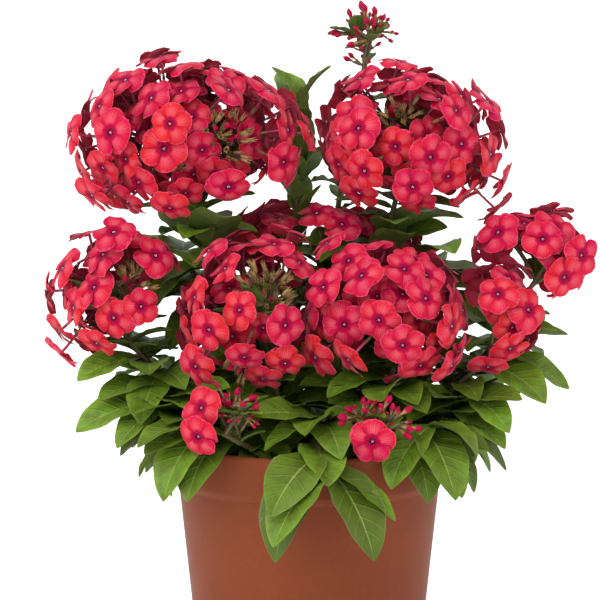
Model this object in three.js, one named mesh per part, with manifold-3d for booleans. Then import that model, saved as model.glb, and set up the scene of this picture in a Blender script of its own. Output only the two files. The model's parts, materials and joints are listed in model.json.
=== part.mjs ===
// Garden phlox in a plastic nursery pot: pot, potting mix, leafy stems and the flower heads on them.
// Millimetres, +Z up, origin at the centre of the pot's underside, -Y is the side it is shown from.
import * as THREE from "three";
import { mergeVertices } from "three/addons/utils/BufferGeometryUtils.js";
import Module from "manifold-3d";

const wasm = await Module();
wasm.setup();

// ---------------------------------------------------------------- driving dimensions

const POT_HEIGHT = 135;
const POT_RIM_RADIUS = 85;
const RIM_INNER_RADIUS = 82.2;
const COLLAR_FOOT = 107;
const WALL_TOP_RADIUS = 80.2;
const BASE_RADIUS = 69;
const WALL_THICKNESS = 2;
const BASE_THICKNESS = 3;
const FOOT_WIDTH = 7;
const CHANNEL_DEPTH = 1.2;
const DRAIN_HOLES = 6;
const DRAIN_HOLE_RADIUS = 4.5;
const DRAIN_HOLE_SIDES = 6;
const DRAIN_RING_RADIUS = 42;
const ROUND_SIDES = 20;

const SOIL_EDGE_HEIGHT = 119;
const SOIL_CROWN_HEIGHT = 123;
const CLEARANCE = 0.3;
const HOLE_SLACK = 1.3;
const HOLE_SIDES = 4;
const SMALLEST_DETAIL = 0.03;

const FLORET_DIAMETER = 29;
const FLORET_SPREAD = 0.08;
const NEIGHBOUR_DISTANCE = 1.3 * FLORET_DIAMETER;
const FLORET_BALL_RADIUS = 5;
const TUBE_BALL_RADIUS = 3;
const PETALS = 5;
const NOTCH_SHARE = 0.72;
const EDGE_SHARE = 0.46;
const LOBE_SHARE = 0.37;
const PETAL_SHOULDER = rad(19);
const THROAT_DIP = 1.3;
const THROAT_DEPTH = 3.4;
const RIM_FALL = 1.1;
const TUBE_RADIUS = 1.3;
const THIN_SIDES = 3;

// How a head is put together, as shares of the dome's own size unless they are radii.
const CYME_SPREAD = 0.84;
const CYME_DEPTH = 0.46;
const REACH_SPREAD = 0.12;
const FLORET_WANDER = 0.2;
const FACING_WANDER = 0.4;
const FAN_SHARE = 0.5;
const LEVELS = 5;
const LEVEL_STEP = 3;
const BLADE_GAP = 0.3;
const BUD_REACH = 0.86;
const BUD_WANDER = 0.25;
const BUD_PAIR_SPREAD = 0.14;
const BUD_LENGTH = 7;
const BUD_RADIUS = 1.5;
const RACHIS_RADIUS = 2;
const RACHIS_REACH = 0.2;
const BRANCHED_SHARE = 0.6;
const BRANCH_RADIUS = 1.2;
const KNOT_RADIUS = 3.2;
const FOOT_OFFSET = 1.2;

const STEM_RADIUS = 2.1;
const STEM_SIDES = 4;
const STEM_STEP = 28;
const STEM_DEPTH = 12;
const STEM_APPROACH = 0.35;
const FIRST_STEM_SEED = 101;

const LEAF_THICKNESS = 0.9;
const LEAF_SEAT = 0.9;
const LEAF_BREADTH = 0.43;
const LEAF_FOLD = rad(14);
const YOUNG_LEAF_SHARE = 0.3;
const TURN_TO_LIGHT = 0.5;
const BEARING_WANDER = 0.35;
const LENGTH_SPREAD = 0.1;
const DROOP_SPREAD = 0.2;
const LOWEST_DROOP = 1.2;
const HIGHEST_DROOP = 0.8;
const ROLL_WANDER = 0.7;
const LEAF_BALL_RADIUS = 3.2;
const LEAF_BALL_SHARES = [0.25, 0.42, 0.58, 0.74, 0.9];
const LEAF_DISTANCE = 5.5;
const LEAF_ROOT_SHARE = 0.3;
// Along the midrib, and how much of the full breadth the blade has there.
const LEAF_STATIONS = [[0.28, 0.92], [0.66, 0.84]];
const LEAF_TRIES = [1, 0.86, 0.72].flatMap((shorter) =>
  [0, 16, -16, 32, -32].flatMap((sideways) => [0, 14, -14].map((lower) => ({ shorter, sideways, lower }))),
);

const GOLDEN_ANGLE = Math.PI * (3 - Math.sqrt(5));
const UP = new THREE.Vector3(0, 0, 1);

// Flower heads. `centre` and `radii` give the dome that the florets lie on and `lean` the way its top points.
// `widest` is how far down from the top the florets reach. Florets have dropped from the `bare` patches,
// where only calyces are left, and `strays` stand by themselves, at `reach` times the dome's size.
const HEADS = [
  {
    name: "head_upper_left", seed: 18, centre: [-70, 6, 312], radii: [65, 54, 51], lean: [-0.12, -0.15, 1],
    florets: 50, cymes: 8, widest: 118,
    bare: [{ toward: [0.5, -0.82, 0.25], reach: 25 }, { toward: [-0.05, -1, -0.25], reach: 14 }],
    strays: [{ toward: [-0.8, -0.45, -0.42], reach: 1.02 }, { toward: [-0.6, -0.55, -0.62], reach: 0.98 }],
  },
  {
    name: "head_upper_right", seed: 55, centre: [58, 15, 309], radii: [55, 50, 47], lean: [0.08, -0.15, 1],
    florets: 42, cymes: 7, widest: 118,
    bare: [{ toward: [0, -0.88, 0.48], reach: 24 }],
    strays: [{ toward: [0.93, -0.1, -0.35], reach: 1.2 }, { toward: [0.83, -0.15, -0.62], reach: 1.25 }],
  },
  {
    name: "head_front_right", seed: 50, centre: [46, -34, 212], radii: [46, 42, 44], lean: [0.12, -0.2, 1],
    florets: 34, cymes: 5, widest: 116,
    bare: [],
    strays: [{ toward: [0.72, -0.6, -0.5], reach: 1.15 }],
  },
  {
    name: "head_low_right", seed: 8, centre: [109, -24, 208], radii: [25, 27, 35], lean: [0.1, -0.5, 1],
    florets: 16, cymes: 2, widest: 112,
    bare: [],
    strays: [],
  },
  {
    name: "head_front_left", seed: 20, centre: [-27, -36, 212], radii: [46, 42, 50], lean: [-0.1, -0.1, 1],
    florets: 35, cymes: 6, widest: 116,
    bare: [{ toward: [0.02, -0.85, 0.5], reach: 30 }, { toward: [-0.42, -0.62, -0.66], reach: 18 }],
    strays: [],
  },
  {
    name: "head_left", seed: 38, centre: [-110, -22, 219], radii: [41, 36, 43], lean: [-0.3, -0.15, 1],
    florets: 22, cymes: 3, widest: 110,
    bare: [{ toward: [0.15, -0.8, 0.5], reach: 24 }],
    strays: [{ toward: [-0.85, -0.1, -0.62], reach: 1.22 }, { toward: [-0.1, -0.75, 1.2], reach: 1.02 }],
  },
  {
    name: "head_right", seed: 54, centre: [132, -8, 241], radii: [37, 34, 32], lean: [0.2, -0.4, 1],
    florets: 17, cymes: 3, widest: 100,
    bare: [],
    strays: [],
  },
  {
    name: "head_middle", seed: 1, centre: [6, 26, 246], radii: [60, 32, 27], lean: [0, -0.15, 1],
    florets: 39, cymes: 6, widest: 100,
    bare: [],
    strays: [],
  },
];

// Young heads, still in bud but for a floret or two.
const BUD_HEADS = [
  {
    name: "bud_head_top", seed: 83, centre: [37, 44, 372], radii: [26, 18, 22], lean: [0, 0, 1],
    florets: 8, cymes: 3, widest: 95,
    bare: [{ toward: [0, 0, 1], reach: 180 }],
    strays: [],
  },
  {
    name: "bud_head_front", seed: 89, centre: [38, -84, 150], radii: [31, 22, 22], lean: [0.1, -0.5, 1],
    florets: 9, cymes: 3, widest: 84,
    bare: [{ toward: [0, 0, 1], reach: 180 }],
    strays: [{ toward: [-0.1, -1, -0.05], reach: 0.8 }],
  },
  {
    name: "bud_head_front_left", seed: 97, centre: [-45, -76, 154], radii: [26, 20, 24],
    lean: [-0.1, -0.4, 1], florets: 6, cymes: 2, widest: 84,
    bare: [{ toward: [0, 0, 1], reach: 180 }],
    strays: [{ toward: [-0.72, -0.6, 0.55], reach: 1.05 }, { toward: [-0.62, -0.75, -0.1], reach: 1.1 }],
  },
];

// Leafy stems, which rise from `base` to `tip`: `lift` is how far one rises before it bends, and a stem
// either `bears` a head or ends along `lean`. Opposite leaves, `length` long, grow in `pairs` between the
// shares `from` and `to` of the stem, the first pair at the bearing `turn`. They leave the stem at `rise`
// and bend by `droop`.
const STEMS = [
  {
    name: "shoot_front_left", base: [-40, -34], tip: [-66, -66, 152], lift: 24, lean: [-0.5, -0.5, 0.4],
    pairs: 4, from: 0.5, to: 0.98, turn: 250, length: 60, rise: -14, droop: 56,
  },
  {
    name: "shoot_left", base: [-58, -20], tip: [-92, -40, 164], lift: 24, lean: [-0.6, -0.4, 0.5],
    pairs: 4, from: 0.48, to: 0.98, turn: 225, length: 54, rise: -4, droop: 42,
  },
  {
    name: "shoot_front", base: [0, -48], tip: [8, -101, 131], lift: 34, lean: [0.02, -0.75, -0.5],
    pairs: 3, from: 0.72, to: 0.98, turn: 232, length: 66, rise: -34, droop: 36,
  },
  {
    name: "shoot_centre", base: [2, -30], tip: [8, -66, 156], lift: 26, lean: [0, -0.8, 0.3],
    pairs: 3, from: 0.55, to: 0.98, turn: 205, length: 50, rise: -5, droop: 48,
  },
  {
    name: "shoot_front_right", base: [42, -36], tip: [74, -62, 152], lift: 24, lean: [0.5, -0.5, 0.4],
    pairs: 4, from: 0.5, to: 0.98, turn: -70, length: 60, rise: -14, droop: 56,
  },
  {
    name: "shoot_right", base: [60, -14], tip: [96, -30, 164], lift: 24, lean: [0.6, -0.4, 0.5],
    pairs: 5, from: 0.42, to: 0.98, turn: -45, length: 54, rise: -4, droop: 42,
  },
  {
    name: "shoot_back_right", base: [46, 38], tip: [80, 60, 162], lift: 24, lean: [0.5, 0.5, 0.5],
    pairs: 2, from: 0.5, to: 0.98, turn: 40, length: 54, rise: 0, droop: 45,
  },
  {
    name: "shoot_back_left", base: [-46, 36], tip: [-80, 62, 162], lift: 24, lean: [-0.5, 0.5, 0.5],
    pairs: 2, from: 0.5, to: 0.98, turn: 130, length: 54, rise: 0, droop: 45,
  },
  {
    name: "shoot_middle_right", base: [40, 18], tip: [74, 24, 244], lift: 60, lean: [0.3, -0.5, 0.6],
    pairs: 3, from: 0.6, to: 0.98, turn: -80, length: 52, rise: 20, droop: 55,
  },
  {
    name: "shoot_middle_left", base: [-36, 16], tip: [-80, 24, 246], lift: 60, lean: [-0.3, -0.5, 0.6],
    pairs: 3, from: 0.6, to: 0.98, turn: 260, length: 52, rise: 20, droop: 55,
  },
  {
    name: "stem_bud_front", bears: "bud_head_front", base: [24, -44], tip: [35, -74, 139], lift: 20,
    pairs: 2, from: 0.5, to: 0.85, turn: 20, length: 38, rise: 5, droop: 45,
  },
  {
    name: "stem_bud_front_left", bears: "bud_head_front_left", base: [-24, -42], tip: [-40, -68, 142],
    lift: 20, pairs: 2, from: 0.5, to: 0.85, turn: 150, length: 38, rise: 5, droop: 45,
  },
  {
    name: "stem_upper_left", bears: "head_upper_left", base: [-26, 12], tip: [-64, 8, 262], lift: 70,
    pairs: 6, from: 0.3, to: 0.94, turn: 200, length: 60, rise: 22, droop: 62,
  },
  {
    name: "stem_upper_right", bears: "head_upper_right", base: [24, 14], tip: [50, 18, 264], lift: 70,
    pairs: 6, from: 0.3, to: 0.94, turn: -20, length: 60, rise: 22, droop: 62,
  },
  {
    name: "stem_front_left", bears: "head_front_left", base: [-14, -14], tip: [-20, -34, 168], lift: 26,
    pairs: 3, from: 0.5, to: 0.9, turn: 250, length: 52, rise: 5, droop: 52,
  },
  {
    name: "stem_front_right", bears: "head_front_right", base: [20, -18], tip: [50, -30, 178], lift: 26,
    pairs: 4, from: 0.45, to: 0.9, turn: -60, length: 52, rise: 5, droop: 52,
  },
  {
    name: "stem_left", bears: "head_left", base: [-46, -6], tip: [-102, -20, 188], lift: 30,
    pairs: 5, from: 0.42, to: 0.95, turn: 215, length: 54, rise: 8, droop: 52,
  },
  {
    name: "stem_right", bears: "head_right", base: [48, 2], tip: [124, -4, 210], lift: 30,
    pairs: 5, from: 0.4, to: 0.95, turn: -40, length: 56, rise: 8, droop: 52,
  },
  {
    name: "stem_low_right", bears: "head_low_right", base: [37, -9], tip: [96, -20, 174], lift: 30,
    pairs: 3, from: 0.5, to: 0.9, turn: -60, length: 50, rise: 5, droop: 52,
  },
  {
    name: "stem_middle", bears: "head_middle", base: [4, 6], tip: [6, 23, 218], lift: 40,
    pairs: 3, from: 0.4, to: 0.92, turn: 60, length: 50, rise: 8, droop: 52,
  },
  {
    name: "stem_top", bears: "bud_head_top", base: [8, 28], tip: [33, 46, 350], lift: 120,
    pairs: 4, from: 0.8, to: 0.99, turn: 190, length: 24, rise: 30, droop: 40,
  },
  {
    name: "shoot_top", base: [-12, 26], tip: [-6, 34, 336], lift: 120, lean: [0, -0.1, 1],
    pairs: 4, from: 0.74, to: 0.99, turn: 250, length: 38, rise: 58, droop: 40,
  },
];

// ---------------------------------------------------------------- small tools

function rad(degrees) {
  return (degrees * Math.PI) / 180;
}

function vec([x, y, z]) {
  return new THREE.Vector3(x, y, z);
}

// A run of even numbers from 0 to 1, the same for the same seed.
function randomStream(seed) {
  let state = seed * 7919 + 17;
  return () => {
    state = (state * 16807) % 2147483647;
    return state / 2147483647;
  };
}

// A closed geometry as a manifold-3d solid, turned to face out.
function solidOf(geometry) {
  const bare = geometry.index ? geometry.toNonIndexed() : geometry;
  const unmerged = new THREE.BufferGeometry().setAttribute("position", bare.getAttribute("position"));
  const merged = mergeVertices(unmerged, 1e-4);
  const vertProperties = merged.attributes.position.array;
  const triVerts = new Uint32Array(merged.index.array);
  const solid = new wasm.Manifold(new wasm.Mesh({ numProp: 3, vertProperties, triVerts }));
  if (solid.volume() >= 0) return solid;
  for (let i = 0; i < triVerts.length; i += 3) {
    [triVerts[i + 1], triVerts[i + 2]] = [triVerts[i + 2], triVerts[i + 1]];
  }
  return new wasm.Manifold(new wasm.Mesh({ numProp: 3, vertProperties, triVerts }));
}

function geometryOf(solid) {
  const mesh = solid.getMesh();
  const geometry = new THREE.BufferGeometry();
  geometry.setAttribute("position", new THREE.BufferAttribute(mesh.vertProperties, 3));
  geometry.setIndex(new THREE.BufferAttribute(mesh.triVerts, 1));
  return geometry;
}

// Joins solids into one body and drops loose scraps.
function joined(solids) {
  const whole = wasm.Manifold.union(solids).simplify(SMALLEST_DETAIL);
  const bodies = whole.decompose().sort((a, b) => b.volume() - a.volume());
  return geometryOf(bodies[0]);
}

function meshSolid(points, faces) {
  const geometry = new THREE.BufferGeometry().setFromPoints(points);
  geometry.setIndex(faces.flat());
  return solidOf(geometry);
}

// Stands a geometry made along +Y, from the origin up, on `foot` so that it points along `heading`.
function standOn(geometry, foot, heading) {
  geometry.applyQuaternion(new THREE.Quaternion().setFromUnitVectors(new THREE.Vector3(0, 1, 0), heading));
  return solidOf(geometry.translate(foot.x, foot.y, foot.z));
}

// A straight rod with flat ends, wider or narrower at its far end where that has a radius of its own.
function rodSolid(from, to, radius, sides, farRadius = radius) {
  const along = to.clone().sub(from);
  const length = along.length();
  const geometry = new THREE.CylinderGeometry(farRadius, radius, length, sides).translate(0, length / 2, 0);
  return standOn(geometry, from, along.normalize());
}

// A bud, or the calyx that a dropped floret leaves, with its thin stalk.
function budSolid(from, to) {
  const along = to.clone().sub(from);
  const length = along.length();
  const profile = [[0, 0], [BUD_RADIUS, length - BUD_LENGTH], [0, length]];
  const points = profile.map(([radius, height]) => new THREE.Vector2(radius, height));
  return standOn(new THREE.LatheGeometry(points, THIN_SIDES), from, along.normalize());
}

// ---------------------------------------------------------------- keeping neighbours apart

// Balls along everything that is already placed. A leaf, floret or branch that would come through another
// node is bent clear of them or left off.
const claimed = [];

function claim(balls, owner) {
  balls.forEach(({ at, radius }) => claimed.push({ at, radius, owner }));
}

function isClear(balls, owner) {
  const others = claimed.filter((other) => other.owner !== owner);
  const clear = (ball, other) => ball.at.distanceTo(other.at) > ball.radius + other.radius;
  return balls.every((ball) => others.every((other) => clear(ball, other)));
}

function ballsAlong(from, to, shares, radius) {
  return shares.map((share) => ({ at: from.clone().lerp(to, share), radius }));
}

// ---------------------------------------------------------------- flower heads

// Spot `index` of `count`, spread evenly over a cap that reaches `widest` down from its top.
function spotOnCap(index, count, widest) {
  const height = 1 - ((index + 0.5) / count) * (1 - Math.cos(widest));
  const out = Math.sqrt(1 - height * height);
  const turn = index * GOLDEN_ANGLE;
  return new THREE.Vector3(out * Math.cos(turn), out * Math.sin(turn), height);
}

function onDome(head, direction, share) {
  return vec(head.centre).addScaledVector(direction.clone().multiply(vec(head.radii)), share);
}

function isBare(head, direction) {
  return head.bare.some((patch) => direction.angleTo(vec(patch.toward)) < rad(patch.reach));
}

// Each side branch ends in a cyme, the knot that its florets fan out from.
function layOutCymes(head, leaning, random) {
  const cymes = [];
  for (let i = 0; i < head.cymes; i++) {
    const direction = spotOnCap(i, head.cymes, rad(head.widest * CYME_SPREAD)).applyQuaternion(leaning);
    const reach = 1 + REACH_SPREAD * (2 * random() - 1);
    const knot = onDome(head, direction, CYME_DEPTH * reach);
    const branch = ballsAlong(vec(head.centre), knot, [0.3, 0.6, 1], BRANCH_RADIUS + 1);
    if (isClear(branch, head.name)) cymes.push({ knot, reach });
  }
  return cymes;
}

// Florets and buds stand apart on their knot.
function footOn(knot, tip) {
  return knot.clone().addScaledVector(tip.clone().sub(knot).normalize(), FOOT_OFFSET);
}

function nearestCyme(cymes, point) {
  const distance = (cyme) => cyme.knot.distanceTo(point);
  return cymes.reduce((best, cyme) => (distance(cyme) < distance(best) ? cyme : best));
}

// Where every floret and bud of a head sits, on the stalk that carries on from its stem.
function layOutHead(head) {
  const line = lines.find(({ stem }) => stem.bears === head.name);
  const root = line.end.clone().addScaledVector(line.heading, CLEARANCE);
  const length = root.distanceTo(vec(head.centre)) + RACHIS_REACH * head.radii[2];
  const top = root.clone().addScaledVector(line.heading, length);
  claim(ballsAlong(root, top, [0, 0.2, 0.4, 0.6, 0.8, 1], RACHIS_RADIUS + 1), head.name);
  const random = randomStream(head.seed);
  const leaning = new THREE.Quaternion().setFromUnitVectors(UP, vec(head.lean).normalize());
  const cymes = layOutCymes(head, leaning, random);
  const florets = [];
  const buds = [];
  for (let i = 0; i < head.florets; i++) {
    const wander = new THREE.Vector3(random(), random(), random()).subScalar(0.5);
    const spin = random() * 2 * Math.PI;
    const diameter = FLORET_DIAMETER * (1 + FLORET_SPREAD * (2 * random() - 1));
    const direction = spotOnCap(i, head.florets, rad(head.widest)).applyQuaternion(leaning);
    direction.addScaledVector(wander, FLORET_WANDER).normalize();
    const cyme = nearestCyme(cymes, onDome(head, direction, 1));
    if (!isBare(head, direction)) {
      const middle = onDome(head, direction, cyme.reach);
      const foot = footOn(cyme.knot, middle);
      placeFloret(florets, head, { middle, direction, wander, foot, spin, diameter });
      continue;
    }
    for (const sideways of [-1, 1]) {
      const aside = direction.clone().addScaledVector(across(direction, spin)[0], sideways * BUD_PAIR_SPREAD);
      const reach = (BUD_REACH + sideways * BUD_WANDER * wander.x) * cyme.reach;
      const tip = onDome(head, aside.normalize(), reach);
      const balls = ballsAlong(cyme.knot, tip, [0.5, 1], BUD_RADIUS + 1.5);
      if (isClear(balls, head.name)) buds.push({ tip, foot: footOn(cyme.knot, tip), balls });
    }
  }
  for (const stray of head.strays) {
    const direction = vec(stray.toward).normalize();
    const middle = onDome(head, direction, stray.reach);
    const foot = footOn(nearestCyme(cymes, middle).knot, middle);
    const wander = new THREE.Vector3();
    const diameter = FLORET_DIAMETER;
    placeFloret(florets, head, { middle, direction, wander, foot, diameter, spin: random() });
  }
  florets.forEach((floret) => claim(floret.balls, head.name));
  buds.forEach((bud) => claim(bud.balls, head.name));
  return { head, root, top, cymes, florets, buds };
}

// A floret faces out of the dome and away from its cyme. Florets overlap like tiles, so each one is tried
// at a few levels and stays at the one where its blade cuts through the fewest others.
function placeFloret(florets, head, floret) {
  const outward = floret.direction.clone().divide(vec(head.radii)).normalize();
  const fanned = floret.middle.clone().sub(floret.foot).normalize();
  floret.facing = fanned.multiplyScalar(FAN_SHARE).addScaledVector(outward, 1 - FAN_SHARE)
    .addScaledVector(floret.wander, FACING_WANDER).normalize();
  const near = florets.filter((other) => other.middle.distanceTo(floret.middle) < NEIGHBOUR_DISTANCE);
  let best = null;
  for (let level = 0; level < LEVELS; level++) {
    const middle = floret.middle.clone().addScaledVector(floret.facing, level * LEVEL_STEP);
    const raised = { ...floret, middle };
    raised.cuts = near.filter((other) => cutsThrough(raised, other) || cutsThrough(other, raised)).length;
    if (!best || raised.cuts < best.cuts) best = raised;
  }
  best.balls = ballsOfFloret(best);
  if (isClear(best.balls, head.name)) florets.push(best);
}

// Whether the rim of one floret passes from below to above the blade of another.
function cutsThrough(floret, other) {
  const heights = [];
  for (let k = 0; k < 2 * PETALS; k++) {
    const edge = floretPoint(floret, EDGE_SHARE * floret.diameter, (Math.PI * k) / PETALS, -RIM_FALL / 2);
    const offset = edge.sub(other.middle);
    const height = offset.dot(other.facing);
    const out = Math.sqrt(offset.lengthSq() - height * height);
    if (out < other.diameter / 2 && Math.abs(height) < other.diameter / 2) heights.push(height + RIM_FALL);
  }
  return Math.min(...heights) < BLADE_GAP && Math.max(...heights) > -BLADE_GAP - THROAT_DEPTH / 2;
}

// Two unit vectors at right angles across a facing direction.
function across(facing, spin) {
  const reference = Math.abs(facing.z) < 0.9 ? UP : new THREE.Vector3(1, 0, 0);
  const side = new THREE.Vector3().crossVectors(reference, facing).normalize();
  const u = side.applyAxisAngle(facing, spin);
  return [u, new THREE.Vector3().crossVectors(facing, u)];
}

function floretPoint(floret, radius, angle, height) {
  const [u, v] = across(floret.facing, floret.spin);
  return floret.middle.clone()
    .addScaledVector(u, radius * Math.cos(angle))
    .addScaledVector(v, radius * Math.sin(angle))
    .addScaledVector(floret.facing, height);
}

function ballsOfFloret(floret) {
  const balls = [{ at: floret.middle.clone(), radius: FLORET_BALL_RADIUS }];
  for (let k = 0; k < PETALS; k++) {
    const lobe = floretPoint(floret, LOBE_SHARE * floret.diameter, (2 * Math.PI * k) / PETALS, 0);
    balls.push({ at: lobe, radius: FLORET_BALL_RADIUS });
  }
  return balls.concat(ballsAlong(floret.middle, floret.foot, [0.25, 0.45, 0.65, 0.9], TUBE_BALL_RADIUS));
}

// Five rounded petals in one thin dished blade, which thickens to the throat and runs on into the tube.
function floretSolid(floret) {
  const radius = floret.diameter / 2;
  const petalStep = (2 * Math.PI) / PETALS;
  const points = [floretPoint(floret, 0, 0, -THROAT_DIP)];
  for (let k = 0; k < PETALS; k++) {
    const angle = k * petalStep;
    points.push(floretPoint(floret, radius * NOTCH_SHARE, angle - petalStep / 2, 0));
    points.push(floretPoint(floret, radius, angle - PETAL_SHOULDER, -RIM_FALL));
    points.push(floretPoint(floret, radius, angle + PETAL_SHOULDER, -RIM_FALL));
  }
  const rim = points.length - 1;
  const tube = points.length;
  for (let k = 0; k < THIN_SIDES; k++) {
    const angle = (2 * Math.PI * (k + 0.5)) / THIN_SIDES - petalStep / 2;
    points.push(floretPoint(floret, TUBE_RADIUS, angle, -THROAT_DEPTH));
  }
  const end = points.length;
  points.push(floret.foot);
  const faces = [];
  for (let k = 0; k < rim; k++) {
    const next = (k + 1) % rim;
    const side = Math.floor((k * THIN_SIDES) / rim);
    faces.push([0, 1 + k, 1 + next]);
    faces.push([1 + next, 1 + k, tube + side]);
  }
  for (let k = 0; k < THIN_SIDES; k++) {
    const next = (k + 1) % THIN_SIDES;
    faces.push([1 + (next * rim) / THIN_SIDES, tube + k, tube + next]);
    faces.push([tube + k, end, tube + next]);
  }
  return meshSolid(points, faces);
}

// The head's own stalk and side branches with its florets and buds, as one solid.
function headSolid({ root, top, cymes, florets, buds }) {
  const solids = [rodSolid(root, top, RACHIS_RADIUS, STEM_SIDES)];
  cymes.forEach(({ knot }, i) => {
    const start = root.clone().lerp(top, 0.95 - (BRANCHED_SHARE * i) / cymes.length);
    const beyond = knot.clone().sub(start).normalize().multiplyScalar(FOOT_OFFSET);
    solids.push(rodSolid(start, beyond.add(knot), BRANCH_RADIUS, THIN_SIDES, KNOT_RADIUS));
  });
  florets.forEach((floret) => solids.push(floretSolid(floret)));
  buds.forEach((bud) => solids.push(budSolid(bud.foot, bud.tip)));
  return joined(solids);
}

// ---------------------------------------------------------------- leafy stems

// The stem's line. It leaves the mix upright and ends heading for the middle of the head that it bears.
function stemLine(stem) {
  const foot = new THREE.Vector3(stem.base[0], stem.base[1], SOIL_EDGE_HEIGHT - STEM_DEPTH);
  const end = vec(stem.tip);
  const borne = [...HEADS, ...BUD_HEADS].find((head) => head.name === stem.bears);
  const aim = (borne ? vec(borne.centre).sub(end) : vec(stem.lean)).normalize();
  const mouth = foot.clone().setZ(SOIL_CROWN_HEIGHT);
  const upright = mouth.clone().addScaledVector(UP, stem.lift);
  const approach = end.clone().addScaledVector(aim, -STEM_APPROACH * end.distanceTo(mouth));
  const lengths = Math.max(3, Math.round(end.distanceTo(mouth) / STEM_STEP));
  const joints = new THREE.CubicBezierCurve3(mouth, upright, approach, end).getPoints(lengths);
  const heading = end.clone().sub(joints[lengths - 1]).normalize();
  return { stem, foot, joints, end, heading };
}

function pointOnStem({ joints }, share) {
  const along = share * (joints.length - 1);
  const i = Math.min(Math.floor(along), joints.length - 2);
  return joints[i].clone().lerp(joints[i + 1], along - i);
}

// A path of straight lengths, with one step of a sweep to each length.
class JointedPath extends THREE.Curve {
  constructor(joints) {
    super();
    this.joints = joints;
  }

  getPoint(share) {
    return pointOnStem(this, share);
  }

  getUtoTmapping(share) {
    return share;
  }
}

function ballsOfStem(line) {
  const balls = [];
  for (let i = 0; i <= 50; i++) balls.push({ at: pointOnStem(line, i / 50), radius: STEM_RADIUS + 1.5 });
  return balls;
}

// A point of a leaf, `side` off its midrib and `height` above the blade. The midrib is an arc that leaves
// the stem at the pitch `rise` and bends down by `droop`. The halves fold up and the blade rolls about it.
function leafPoint(leaf, share, side, height) {
  const pitch = leaf.rise - leaf.droop * share;
  const level = new THREE.Vector3(Math.cos(leaf.bearing), Math.sin(leaf.bearing), 0);
  const beside = new THREE.Vector3(-level.y, level.x, 0);
  const face = level.clone().multiplyScalar(-Math.sin(pitch)).addScaledVector(UP, Math.cos(pitch));
  const roll = leaf.roll * share;
  const wide = beside.clone().multiplyScalar(Math.cos(roll)).addScaledVector(face, Math.sin(roll));
  const high = face.multiplyScalar(Math.cos(roll)).addScaledVector(beside, -Math.sin(roll));
  const out = (Math.sin(leaf.rise) - Math.sin(pitch)) / leaf.droop;
  const climb = (Math.cos(pitch) - Math.cos(leaf.rise)) / leaf.droop;
  return leaf.root.clone()
    .addScaledVector(level, out * leaf.length)
    .addScaledVector(UP, climb * leaf.length)
    .addScaledVector(wide, side * Math.cos(LEAF_FOLD))
    .addScaledVector(high, Math.abs(side) * Math.sin(LEAF_FOLD) + height);
}

function ballsOfLeaf(leaf) {
  const balls = [];
  for (const share of LEAF_BALL_SHARES) {
    const side = (share < 0.8 ? 0.32 : 0.12) * leaf.width;
    for (const offset of [-side, 0, side]) {
      balls.push({ at: leafPoint(leaf, share, offset, 0), radius: LEAF_BALL_RADIUS, share });
    }
  }
  return balls;
}

// The pot is round, so a ball is tested by how far out and how high it is.
function isClearOfPot({ at, radius }) {
  const out = Math.hypot(at.x, at.y);
  const within = out < POT_RIM_RADIUS - 4 - radius && at.z > SOIL_CROWN_HEIGHT + radius;
  const above = at.z > POT_HEIGHT + radius + 0.5;
  const outside = out > POT_RIM_RADIUS + radius + 0.5;
  return within || above || outside;
}

// Leaves of one stem may meet near their roots only.
function apart(balls, others) {
  return balls.every((ball) =>
    others.every((other) =>
      Math.min(ball.share, other.share) < LEAF_ROOT_SHARE || ball.at.distanceTo(other.at) > LEAF_DISTANCE,
    ),
  );
}

// Opposite pairs, each a quarter turn on from the last. A leaf in the way of another piece is turned aside,
// bent up or down or grown shorter until it is clear.
function layOutLeaves(line, index) {
  const { stem } = line;
  const random = randomStream(FIRST_STEM_SEED + index);
  const leaves = [];
  for (let i = 0; i < 2 * stem.pairs; i++) {
    const pair = Math.floor(i / 2);
    const along = stem.from + ((stem.to - stem.from) * pair) / Math.max(1, stem.pairs - 1);
    const node = pointOnStem(line, along);
    const age = pair / stem.pairs;
    const bearing = rad(stem.turn + 90 * pair + 180 * (i % 2)) + BEARING_WANDER * (random() - 0.5);
    const length = stem.length * (1 - YOUNG_LEAF_SHARE * age ** 2) * (1 + LENGTH_SPREAD * (2 * random() - 1));
    const bend = THREE.MathUtils.lerp(LOWEST_DROOP, HIGHEST_DROOP, age);
    const droop = rad(stem.droop) * bend * (1 + DROOP_SPREAD * (2 * random() - 1));
    const roll = TURN_TO_LIGHT * Math.cos(bearing) + ROLL_WANDER * (random() - 0.5);
    for (const { shorter, sideways, lower } of LEAF_TRIES) {
      const leaf = { droop, roll, rise: rad(stem.rise - lower), bearing: bearing + rad(sideways) };
      const level = new THREE.Vector3(Math.cos(leaf.bearing), Math.sin(leaf.bearing), 0);
      leaf.root = node.clone().addScaledVector(level, LEAF_SEAT);
      leaf.length = length * shorter;
      leaf.width = leaf.length * LEAF_BREADTH;
      const balls = ballsOfLeaf(leaf);
      const clear = balls.every(isClearOfPot) && isClear(balls, stem.name);
      if (clear && leaves.every((other) => apart(balls, other.balls))) {
        leaves.push({ ...leaf, balls });
        break;
      }
    }
  }
  leaves.forEach((leaf) => claim(leaf.balls, stem.name));
  return leaves;
}

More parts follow.
